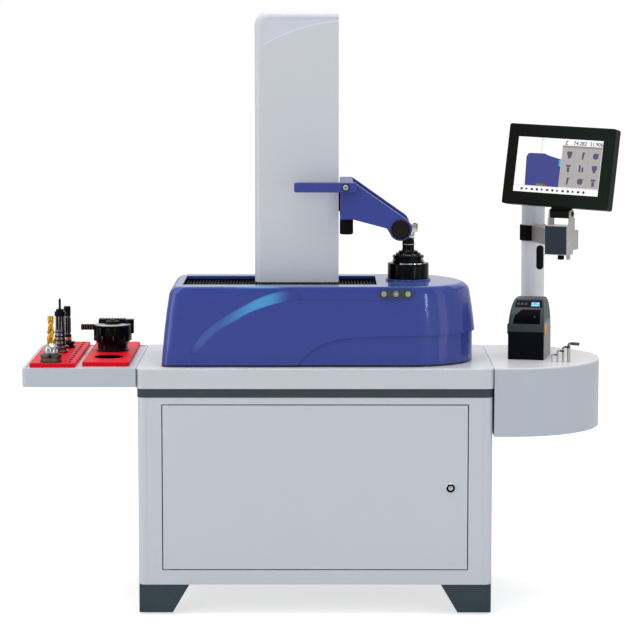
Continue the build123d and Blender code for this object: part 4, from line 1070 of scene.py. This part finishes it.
def spindle_details():
    """The bright seat ring with its two lugs, and the rings and screws of the spindle's cup."""
    place = at_spindle(spindle_high.z)
    cup = (spindle_high.x - spindle_low.x) / 2
    inner, outer, lug_half = 50.0, 57.8, 3.5
    shape = bmesh.new()
    prism(shape, sector_outline(inner, outer, -26.0, 42.0), -0.4, 1.4)
    for angle in (-22.0, 4.0):
        lug = sector_outline(inner - 1, outer + 0.4, angle - lug_half, angle + lug_half)
        prism(shape, lug, -2.4, 2.6)
    piece("spindle_seat_ring", shape, place, "spindle", bright_steel)
    shape = bmesh.new()
    for z, rise in ((-43.5, 1.2), (-9.0, 1.0)):
        ring_form(shape, cup - 0.6, cup + 0.45, z, z + rise)
    piece("spindle_rings", shape, place, "spindle", tool_black)
    shape = bmesh.new()
    outwards = Matrix.Translation((cup - 0.2, 0, -24)) @ Matrix.Rotation(radians(90), 4, "Y")
    for k in range(6):
        screw = bmesh.new()
        lathe(screw, ((0, -1), (3.6, -1), (3.6, 0.5), (2.6, 0.9), (0, 0.9)), 20)
        add_form(shape, screw, Matrix.Rotation(radians(15 + 60 * k), 4, "Z") @ outwards)
    piece("spindle_screws", shape, place, "spindle", tool_black)


def held_tool():
    """The tool holder's flange, its clamp ring with screws, its drive keys and its bright rings."""
    seat = spindle_high.z + 0.2
    place = at_spindle(seat)
    tool_h = box_mm("tool_holder")[1].z - seat
    flange_h, ring_h = 22.0, 12.0
    ring_top = flange_h + ring_h
    flange = ((0, 0.2), (43, 0.2), (44.5, 1.2), (44.5, 7.4), (42.6, 10.2), (42.6, 12.6), (44.5, 15.6))
    top = ((44.5, 21), (43.4, flange_h), (32, flange_h), (30.5, flange_h - 0.8), (28.4, flange_h - 0.8))
    ring = ((28.4, ring_top - 1.4), (27, ring_top), (20, ring_top), (18.6, ring_top + 3), (17, ring_top + 4))
    nut = ((17, 64), (15.6, 66), (17, 68), (17, tool_h - 1), (16, tool_h), (0, tool_h))
    shape = bmesh.new()
    lathe(shape, flange + top + ring + nut, 72)
    round_edges(shape, 0.35, 30)
    piece("tool_holder_body", shape, place, "spindle", tool_black, ("tool_holder",))
    shape = bmesh.new()
    head = ((0, 4), (4.2, 4), (4.2, 4.8), (3.4, 5.4), (2, 5.4), (2, 4.6), (0, 4.6))
    neck = ((0, -1), (4.2, -1), (4.2, 4), (0, 4))
    for x, y in round_outline(33.5, 8, start=0.35):
        for profile in (head, neck):
            lathe(shape, [(radius, flange_h + z) for radius, z in profile], 18, x, y)
    piece("tool_screws", shape, place, "spindle", dark_steel)
    shape = bmesh.new()
    for hand in (-1, 1):
        block(shape, -4, 4, hand * 42 - 3.2, hand * 42 + 3.2, 3, flange_h - 5)
    round_edges(shape, 0.6)
    piece("tool_drive_keys", shape, at_spindle(seat, 64), "spindle", turned_steel)
    shape = bmesh.new()
    ring_form(shape, 28.3, 30.2, flange_h + 0.2, flange_h + 2.2, 56)
    ring_form(shape, 16.9, 18.2, 52, 53.6, 48)
    piece("tool_bright_rings", shape, place, "spindle", turned_steel)


def boring_insert():
    """The small head on the tool: its cartridge, a gold insert and a clamp screw."""
    foot = box_mm("boring_head")[0].z
    place = at_spindle(foot)
    shape = bmesh.new()
    prism(shape, pill_outline(22, 14, 2.4, 15, 0), 17, 40)
    block(shape, -6, 18, -8.5, 8.5, 0, 12)
    prism(shape, pill_outline(6, 11, 1.5, 14.5, 0), 11, 18)
    round_edges(shape, 1.0)
    piece("boring_head_body", shape, place, "spindle", bright_steel, ("boring_head",))
    shape = bmesh.new()
    prism(shape, box_outline(23, 27, -8.4, 4), 24, 42)
    round_edges(shape, 0.6)
    piece("boring_insert", shape, place, "spindle", gold_coat)
    shape = bmesh.new()
    lathe(shape, ((0, 0), (4.6, 0), (4.6, 2), (3.8, 2.8), (0, 2.8)), 24, 18, 0)
    piece("boring_clamp_screw", shape, at_spindle(foot + 40), "spindle", dark_steel)


def optics_details():
    """Cap rings, the lens windows in the gap, the pivot's washer and its hexagon."""
    low, high = box_mm("lamp_housing")
    depth = high.y - low.y
    gap = box_mm("camera_barrel")[0].y - high.y
    lamp_face = on_front("lamp_housing", depth) @ Matrix.Rotation(radians(180), 4, "Y")
    camera_face = on_front("lamp_housing", depth + gap)
    shape = bmesh.new()
    ring_form(shape, 21.5, 23.0, 0.0, 0.35)
    ring_form(shape, 12.0, 12.8, 0.0, 0.25)
    piece("lamp_cap_rings", shape, on_front("lamp_housing"), "optics", matt_black)
    window = ((0, -3.4), (19.6, -3.4), (19.6, -2.6), (14, -1.7), (7, -1.3), (0, -1.2))
    turned("lamp_window", window, lamp_face, "optics", lens_glass)
    turned("camera_window", window, camera_face, "optics", lens_glass)
    pivot = middle("pivot_screw")
    washer_place = facing(pivot.x, box_mm("release_handle")[0].y, pivot.z)
    shape = bmesh.new()
    ring_form(shape, 7.6, 10.8, 0.05, 1.0, 48)
    piece("pivot_washer", shape, washer_place, "handle", matt_black)
    place, hexagon = on_front("pivot_screw"), round_outline(3.0, 6)
    raised("pivot_hexagon", [hexagon], -0.5, 0.12, place, "optics", dark_steel)


spindle_details()
held_tool()
boring_insert()
optics_details()


# A raised plain sign on each button, and the lock's parts


def button_signs():
    """A bar in a ring on two of the buttons, and three lines on the middle one."""
    for name in ("button_stop", "button_page", "button_start"):
        shape = bmesh.new()
        if name == "button_page":
            for up in (-2.4, 0, 2.4):
                prism(shape, pill_outline(8, 1.2, 0.5, 0, up), -0.3, 0.18)
        else:
            prism(shape, pill_outline(1.5, 7.5, 0.6, 0, 0.6), -0.3, 0.18)
            ring_form(shape, 4.6, 5.6, -0.3, 0.16, 36)
        piece(name + "_sign", shape, on_front(name), name, icon_white)


def lock_face():
    """A black plastic ring round the lock's bright plug, just clear of the door's face."""
    place = on_front("door_lock", 2.95)
    rosette = ((0, 0), (13, 0), (13, 2.0), (12, 3.0), (6.2, 3.0), (5.6, 2.2), (0, 2.2))
    turned("lock_rosette", rosette, place, "lock", matt_black)
    plug = ((0, 2.0), (5.2, 2.0), (5.2, 2.9), (4.6, 3.2), (0, 3.2))
    turned("lock_plug", plug, place, "lock", bright_steel, 36)
    # Painted shade: a black pill on the plug stands in for the dark key slot.
    slot = pill_outline(1.4, 6.0, 0.5)
    raised("lock_key_slot_shade", [slot], 3.0, 3.3, place, "lock", matt_black)


button_signs()
lock_face()


# Screws of the back panel


def back_screws():
    """Pan-head screws along the back panel's edges."""
    low, high = box_mm("back_panel")
    inset, radius = 14.0, 4.0
    half_w = (high.x - low.x) / 2 - inset
    half_h = (high.z - low.z) / 2 - inset
    places = [(x * half_w / 2, side * half_h) for x in range(-2, 3) for side in (-1, 1)]
    places += [(side * half_w, y * half_h / 2) for y in (-1, 0, 1) for side in (-1, 1)]
    dome = ((radius, 0.6), (radius * 0.8, 1.5), (radius * 0.45, 1.9), (0, 2.0))
    shape = bmesh.new()
    for x, y in places:
        lathe(shape, ((0, -0.4), (radius, -0.4)) + dome, 20, x, y)
    centre = middle("back_panel")
    turn = Matrix.Rotation(radians(-90), 4, "X") @ Matrix.Rotation(radians(180), 4, "Z")
    place = spot(centre.x, high.y, centre.z) @ turn
    piece("back_panel_screws", shape, place, "frame", turned_steel)


back_screws()


# Label printer: its window, control panel and keys follow the lid's own surface

printer_place = spot(printer_x, printer_y, table_z, printer_turn)


def surface_of(node, place):
    """A tree of the node's surface, for rays in the local millimetres of the place."""
    shape = bmesh.new()
    shape.from_mesh(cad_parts[node].data)
    shape.transform((place @ Matrix.Scale(MM, 4)).inverted())
    tree = BVHTree.FromBMesh(shape)
    shape.free()
    return tree


lid_surface = surface_of("printer_lid", printer_place)


def draped(name, outline, lift, sink, finish, rows=14):
    """A thin plate laid on the lid's front: its outline is in local x and z."""
    columns = 8
    shape = bmesh.new()
    prism(shape, outline, 0, 1)
    for axis, count in ((1, rows), (0, columns)):
        ends = [p[axis] for p in outline]
        across = Vector((0, 0, 0))
        across[axis] = 1
        for k in range(1, count):
            cut = across * (min(ends) + (max(ends) - min(ends)) * k / count)
            geometry = shape.verts[:] + shape.edges[:] + shape.faces[:]
            bmesh.ops.bisect_plane(shape, geom=geometry, plane_co=cut, plane_no=across)
    for v in shape.verts:
        x, z, top = v.co
        hit, normal = lid_surface.ray_cast(Vector((x, -400, z)), Vector((0, 1, 0)))[:2]
        if hit is None:
            hit, normal = lid_surface.find_nearest(Vector((x, -80, z)))[:2]
        if normal.y > 0:
            normal = -normal
        v.co = hit + normal * (lift if top > 0.5 else -sink)
    piece(name, shape, printer_place, "printer_lid", finish)


def lid_face():
    """The lid's window with its dot, the control panel with its screen and keys, and the front lip."""
    lid = printer_body_h + 0.6
    right = [(-35, lid + 23), (38, lid + 23), (39.5, lid + 25), (39.5, lid + 60), (38, lid + 62)]
    window = right + [(-14, lid + 62), (-33.5, lid + 45), (-37, lid + 25)]
    draped("printer_window", window, 0.5, 0.4, window_black)
    panel = [(-36, lid + 68), (43, lid + 68), (39, lid + 85), (-34, lid + 85)]
    draped("printer_panel", panel, 0.45, 0.4, matt_black)
    lcd = [(10, lid + 70.5), (35, lid + 70.5), (33.5, lid + 80.5), (10, lid + 80.5)]
    draped("printer_lcd", lcd, 0.8, 0.2, lcd_blue)
    for k, (x, z, width) in enumerate(((13, 71.5, 6), (21, 71.5, 9), (13, 76, 4), (26, 76.5, 5))):
        mark = box_outline(x, x + width, lid + z, lid + z + 2.6)
        draped(f"printer_lcd_mark_{k + 1}", mark, 0.95, 0.1, lcd_light, 2)
    dot = pill_outline(5, 5, 2.4, 24, lid + 42)
    draped("printer_window_dot", dot, 0.8, 0.2, printer_grey, 3)
    for k in range(3):
        key = pill_outline(7, 5, 1.6, -27 + 11 * k, lid + 76)
        draped(f"printer_key_{k + 1}", key, 1.1, 0.2, panel_plastic, 3)
    lip = box_outline(-45, 45, lid + 1.5, lid + 6)
    draped("printer_lid_lip", lip, 1.2, 0.4, printer_grey, 3)


def body_front():
    """A black strip for the label slot in the body's front, painted shade for its opening, and the orange
    cap on its right latch.
    """
    front = -printer_d / 2
    upright = Matrix.Rotation(radians(90), 4, "X")
    place = printer_place @ Matrix.Translation(Vector((0, front, 0)) * MM) @ upright
    # Painted shade: a black strip stands in for the dark opening of the label slot.
    slot = box_outline(-41, 41, 68, 73)
    raised("printer_label_slot_shade", [slot], 0, 0.9, place, "frame", matt_black)
    shape = bmesh.new()
    outline = [(7.6, 71.6), (20, 71.6), (24.6, 80), (27.5, 88), (24.6, 96), (20, 101.6), (7.6, 101.6)]
    prism(shape, outline, printer_w / 2 + 0.6, printer_w / 2 + 3.4)
    round_edges(shape, 0.5)
    shape.transform(Matrix.Rotation(radians(90), 4, "Z") @ upright)
    bmesh.ops.translate(shape, verts=shape.verts, vec=(0, front, 0))
    piece("printer_latch_cap", shape, printer_place, "frame", orange_latch)


lid_face()
body_front()


# Stored tools on the tray

insert_low, insert_high = box_mm("tray_inserts")
seat_z = insert_high.z
left_insert_x = table_left - 236.0
right_insert_x = table_left - 89.0
long_pocket = (left_insert_x - 1.0, 5.0)
short_pocket = (left_insert_x + 9.0, 120.0)
cutter_pocket = (right_insert_x, 55.0)
empty_pocket = (right_insert_x, -95.0)
socket_steps = ((0, -12.5), (15.7, -12.5))


def drill_outline(radius, web=0.38):
    """The two-fluted section of a drill."""
    angles = [9 * k for k in range(40)]
    return polar_outline([(a, radius * (1 - (1 - web) * abs(cos(radians(a))) ** 6)) for a in angles])


def collet_chuck():
    """A steel shank flange with a collet nut, and a gold-coated step drill in it."""
    centre = middle("collet_chuck")
    place = spot(centre.x, centre.y, seat_z, 20)
    shape = bmesh.new()
    flange = ((15.7, 0), (30, 0), (30, 7), (28.4, 9), (28.4, 12.5), (30, 14.5), (30, 22))
    lathe(shape, socket_steps + flange + ((22, 22), (22, 23.5), (0, 23.5)), 64)
    round_edges(shape, 0.5, 30)
    piece("chuck_flange", shape, place, "frame", dark_steel, ("collet_chuck",))
    shape = bmesh.new()
    notched = polar_outline([(7.5 * k, 18.6 if k % 8 in (0, 1) else 21.0) for k in range(48)])
    prism(shape, notched, 23, 38)
    lathe(shape, ((0, 38), (20.5, 38), (18.5, 44), (12, 51), (11, 52), (0, 52)), 48)
    round_edges(shape, 0.4, 40)
    piece("chuck_nut", shape, place, "frame", turned_steel)
    # Painted shade: a black disc on the flange's front stands in for the shade in its small round hole.
    dot = ((0, 0), (4.4, 0), (4.4, 0.9), (0, 0.9))
    hole_shade_place = facing(centre.x, centre.y - 29.6, seat_z + 18)
    turned("chuck_hole_shade", dot, hole_shade_place, "frame", matt_black, 24)
    shape = bmesh.new()
    flutes, rise, twist = drill_outline(11.0), 4, 26
    twisted(shape, flutes, [(50 + rise * k, twist * k, 1.0) for k in range(10)])
    twisted(shape, flutes, [(86 + rise * k, twist * (9 + k), 0.78) for k in range(10)])
    lathe(shape, ((0, 118), (8.6, 118), (8.6, 129), (0, 129.6)), 36)
    piece("gold_drill", shape, place, "frame", gold_coat, smooth=50.0)


def long_arbor():
    """A slim shrink-fit arbor with a black collar and a spike on top."""
    place = spot(*long_pocket, seat_z)
    shape = bmesh.new()
    flange = ((15.7, 0.3), (24, 0.3), (24, 6), (20, 8.5), (20, 11.5), (24, 14), (24, 20))
    stem = ((16.5, 21.5), (15.5, 30), (14, 60), (13, 76), (13, 109), (0, 109))
    lathe(shape, socket_steps + flange + stem, 56)
    round_edges(shape, 0.4, 30)
    piece("long_arbor_body", shape, place, "frame", arbor_steel, ("arbors",))
    shape = bmesh.new()
    for z in (22, 34, 46, 58):
        ring_form(shape, 13.0, 16.9 - (z - 22) * 0.05, z, z + 3.4, 48)
    for x, y in polar_outline([(-120 + 38 * k, 12.4) for k in range(3)]):
        prism(shape, round_outline(2.6, 12, x, y), 66, 106)
    ring_form(shape, 11, 15.6, 106, 119, 48)
    lathe(shape, ((0, 109), (11.5, 109), (11.5, 125), (10.5, 126), (0, 126)), 48)
    lathe(shape, ((0, 126), (5.0, 126), (3.5, 129), (3.5, 152), (2.2, 156.5), (0, 156.5)), 24)
    round_edges(shape, 0.3, 40)
    piece("long_arbor_collar", shape, place, "frame", tool_black)


def short_arbor():
    """A stub arbor with a black cap, a copper ring and a dark flange."""
    place = spot(*short_pocket, seat_z)
    shape = bmesh.new()
    flange = ((15.7, 0.3), (22, 0.3), (22, 6), (18.5, 8), (18.5, 11), (22, 13), (22, 18))
    lathe(shape, socket_steps + flange + ((12.4, 19), (12.4, 22), (0, 22)), 56)
    lathe(shape, ((0, 94), (10.4, 94), (10.4, 119), (9, 122), (0, 122)), 40)
    lathe(shape, ((0, 32), (12, 32), (12, 38), (9.6, 40), (0, 40)), 40)
    round_edges(shape, 0.4, 30)
    piece("short_arbor_flange", shape, place, "frame", tool_black, ("arbors",))
    stem = ((0, 40), (9.4, 40), (9.4, 94), (0, 94))
    turned("short_arbor_stem", stem, place, "frame", arbor_steel, 40)
    ring = ((0, 22), (12.3, 22), (12.3, 32), (0, 32))
    turned("short_arbor_ring", ring, place, "frame", copper_ring, 40)
    places = polar_outline([(-100 + 40 * k, 8.4) for k in range(4)])
    flutes = [round_outline(2.4, 10, x, y) for x, y in places]
    raised("short_arbor_flutes", flutes, 44, 88, place, "frame", tool_black)


def insert_cutter():
    """A large milling head: pockets with inserts, a bright top ring, a hub and three bars."""
    place = spot(*cutter_pocket, seat_z)
    teeth = 10
    tooth = ((0.0, 55.0), (0.2, 55.0), (0.4, 55.0), (0.6, 54.6), (0.62, 46.5), (0.8, 47.5), (0.97, 50.0))
    foot, head = 30, 70
    corners = [(k + share, radius) for k in range(teeth) for share, radius in tooth]
    outline = polar_outline([(360 / teeth * turn, radius) for turn, radius in corners])
    shape = bmesh.new()
    prism(shape, outline, foot, head)
    shank = ((41.5, 0.3), (46.5, 0.3), (46.5, 4), (44, 6), (44, 20), (47, 24), (50, foot), (0, foot))
    lathe(shape, ((0, -12.5), (41.5, -12.5)) + shank, 72)
    lathe(shape, ((0, head), (53.5, head), (54.6, head + 2), (54.6, head + 5), (0, head + 5)), 96)
    lathe(shape, ((0, 75), (22, 75), (22, 79), (20, 80), (20, 85), (18.5, 86.3), (0, 86.3)), 48)
    lathe(shape, ((0, 86), (8, 86), (8, 89), (0, 89)), 6)
    round_edges(shape, 0.5, 40)
    piece("cutter_body", shape, place, "frame", tool_black, ("disc_cutter",))
    shape = bmesh.new()
    ring_form(shape, 24, 52.5, 74.6, 77.2, 96)
    round_edges(shape, 0.5, 40)
    piece("cutter_top_ring", shape, place, "frame", faced_steel)
    shape = bmesh.new()
    for k in range(teeth):
        tile = bmesh.new()
        block(tile, -3.8, 3.8, -1.8, 1.8, -6, 6)
        round_edges(tile, 0.5)
        turn = Matrix.Rotation(radians(360 / teeth * (k + 0.68)), 4, "Z")
        add_form(shape, tile, turn @ Matrix.Translation((50.3, 0, 40)))
    piece("cutter_inserts", shape, place, "frame", dark_steel)
    shape = bmesh.new()
    block(shape, -42, 36, 14, 44, 77.3, 89.2)
    block(shape, 36, 60.5, 4, 34, 48.4, 89)
    block(shape, -91.5, -44, -8, 8, 60.4, 76)
    round_edges(shape, 1.2)
    piece("cutter_bars", shape, place, "frame", tool_black)
    shape = bmesh.new()
    for k in range(9):
        ridge = -40 + 8.6 * k
        block(shape, ridge, ridge + 4.2, 15, 43, 89, 90.4)
    for k in range(6):
        ridge = -90 + 7.4 * k
        block(shape, ridge, ridge + 3.4, -8.6, 8.6, 61, 76.6)
    piece("cutter_bar_ribs", shape, place, "frame", dark_steel)


def insert_fittings():
    """The row of pegs in the left insert, the plugs beside it and a near-black sleeve in the empty pocket,
    painted shade for its depth.
    """
    pegs, inset = 11, 30.0
    peg_x, plug_x = left_insert_x + 46.0, left_insert_x + 32.0
    pitch = (insert_high.y - insert_low.y - 2 * inset) / (pegs - 1)
    shape = bmesh.new()
    for k in range(pegs):
        y = insert_low.y + inset + k * pitch
        lathe(shape, ((0, -7.5), (4.6, -7.5), (4.6, 1.4), (3.8, 2.2), (0, 2.2)), 20, peg_x, y)
        lathe(shape, ((0, -0.6), (3.6, -0.6), (3.6, 0.5), (0, 0.5)), 20, plug_x, y + pitch / 2)
    piece("insert_pegs", shape, spot(0, 0, seat_z), "frame", peg_blue)
    # Painted shade: a near-black sleeve and floor in the empty pocket stand in for the shade down in it.
    shape = bmesh.new()
    ring_form(shape, 41.2, 41.9, -12.6, -0.3, 72)
    lathe(shape, ((0, -12.8), (41.2, -12.8), (41.2, -12.2), (0, -12.2)), 72)
    piece("pocket_painted_shade", shape, spot(*empty_pocket, seat_z), "frame", window_black)


insert_fittings()
collet_chuck()
long_arbor()
short_arbor()
insert_cutter()


# Studio: a white surround, a pale floor, soft lamps and the camera where the photo was taken

white = (1, 1, 1, 1)


def surround():
    """White behind everything, while the light it gives is weaker and comes mostly from above."""
    world = bpy.data.worlds.new("surround")
    bpy.context.scene.world = world
    shader = Shader(world)
    seen = shader.node("LightPath", output="Is Camera Ray")
    y, z = shader.parts(shader.node("TexCoord", output="Generated"))[1:]
    above = shader.step(z, 0.0, 0.8, 0.0, 0.42)
    behind = shader.step(y, -0.5, 0.6, 0.0, 0.35)
    light = shader.node("Background", inputs={"Color": white, "Strength": 0.36 + above + behind})
    backdrop = shader.node("Background", inputs={"Color": white, "Strength": 1.0})
    chosen = shader.node("MixShader", inputs={0: seen, 1: light, 2: backdrop})
    shader.node("OutputWorld", inputs={"Surface": chosen})


def floor():
    """A wide floor that the camera sees nearly white and the machine sees light grey."""
    shape = bmesh.new()
    bmesh.ops.create_grid(shape, x_segments=1, y_segments=1, size=500)
    mesh = bpy.data.meshes.new("floor")
    shape.to_mesh(mesh)
    shape.free()
    made = bpy.data.objects.new("floor", mesh)
    bpy.context.scene.collection.objects.link(made)
    shader = material("floor_paint")
    cloud = shader.noise(shader.place(), 0.7, 1.0)
    seen = shader.node("LightPath", output="Is Camera Ray")
    matt_tone = shader.mix(cloud, (0.68, 0.68, 0.685, 1), (0.7, 0.7, 0.705, 1))
    thin_tone = shader.mix(cloud, (0.44, 0.44, 0.44, 1), (0.45, 0.45, 0.45, 1))
    matt = shader.node("BsdfDiffuse", inputs={"Color": matt_tone})
    thin = shader.node("BsdfDiffuse", inputs={"Color": thin_tone})
    glow = shader.node("Emission", inputs={"Color": white, "Strength": 0.68})
    bright = shader.node("AddShader", inputs={0: thin, 1: glow})
    chosen = shader.node("MixShader", inputs={0: seen, 1: matt, 2: bright})
    shader.node("OutputMaterial", inputs={"Surface": chosen})
    mesh.materials.append(shader.owner)


def lamp(name, place, target, width, height, power, colour=(1.0, 1.0, 1.0)):
    """A flat soft lamp turned towards its target, in metres."""
    data = bpy.data.lights.new(name, "AREA")
    data.shape = "RECTANGLE"
    data.size = width
    data.size_y = height
    data.energy = power
    data.color = colour
    made = bpy.data.objects.new(name, data)
    made.location = place
    made.rotation_euler = (Vector(target) - Vector(place)).to_track_quat("-Z", "Y").to_euler()
    bpy.context.scene.collection.objects.link(made)


def photo_camera():
    """The camera that was fitted to the photo's edges."""
    focal_px = 2613.0
    long_side_px = 640.0
    tilt_down = 6.443
    yaw = 0.146
    data = bpy.data.cameras.new("camera")
    data.sensor_width = 36.0
    data.lens = focal_px / long_side_px * data.sensor_width
    data.clip_end = 600.0
    made = bpy.data.objects.new("camera", data)
    made.location = (-0.0044, -7.485, 1.648)
    made.rotation_euler = (radians(90 - tilt_down), 0, radians(yaw))
    bpy.context.scene.collection.objects.link(made)
    bpy.context.scene.camera = made


surround()
floor()
lamp("overhead", (0.2, -0.6, 4.2), (0.1, 0.0, 0.9), 3.6, 2.6, 80)
lamp("side_left", (-3.6, -1.2, 1.7), (-0.2, 0.0, 1.1), 1.2, 2.4, 26)
lamp("front_left", (-2.6, -4.2, 2.6), (0.0, 0.0, 0.9), 1.6, 2.0, 26)
lamp("strip_right", (2.62, -3.5, 0.75), (0.3, -0.2, 0.85), 0.25, 0.5, 9, (0.5, 0.82, 1.0))
lamp("side_right", (3.4, -1.6, 1.2), (0.5, 0.0, 0.8), 1.0, 2.0, 7)
photo_camera()
bpy.context.scene.view_settings.view_transform = "Standard"
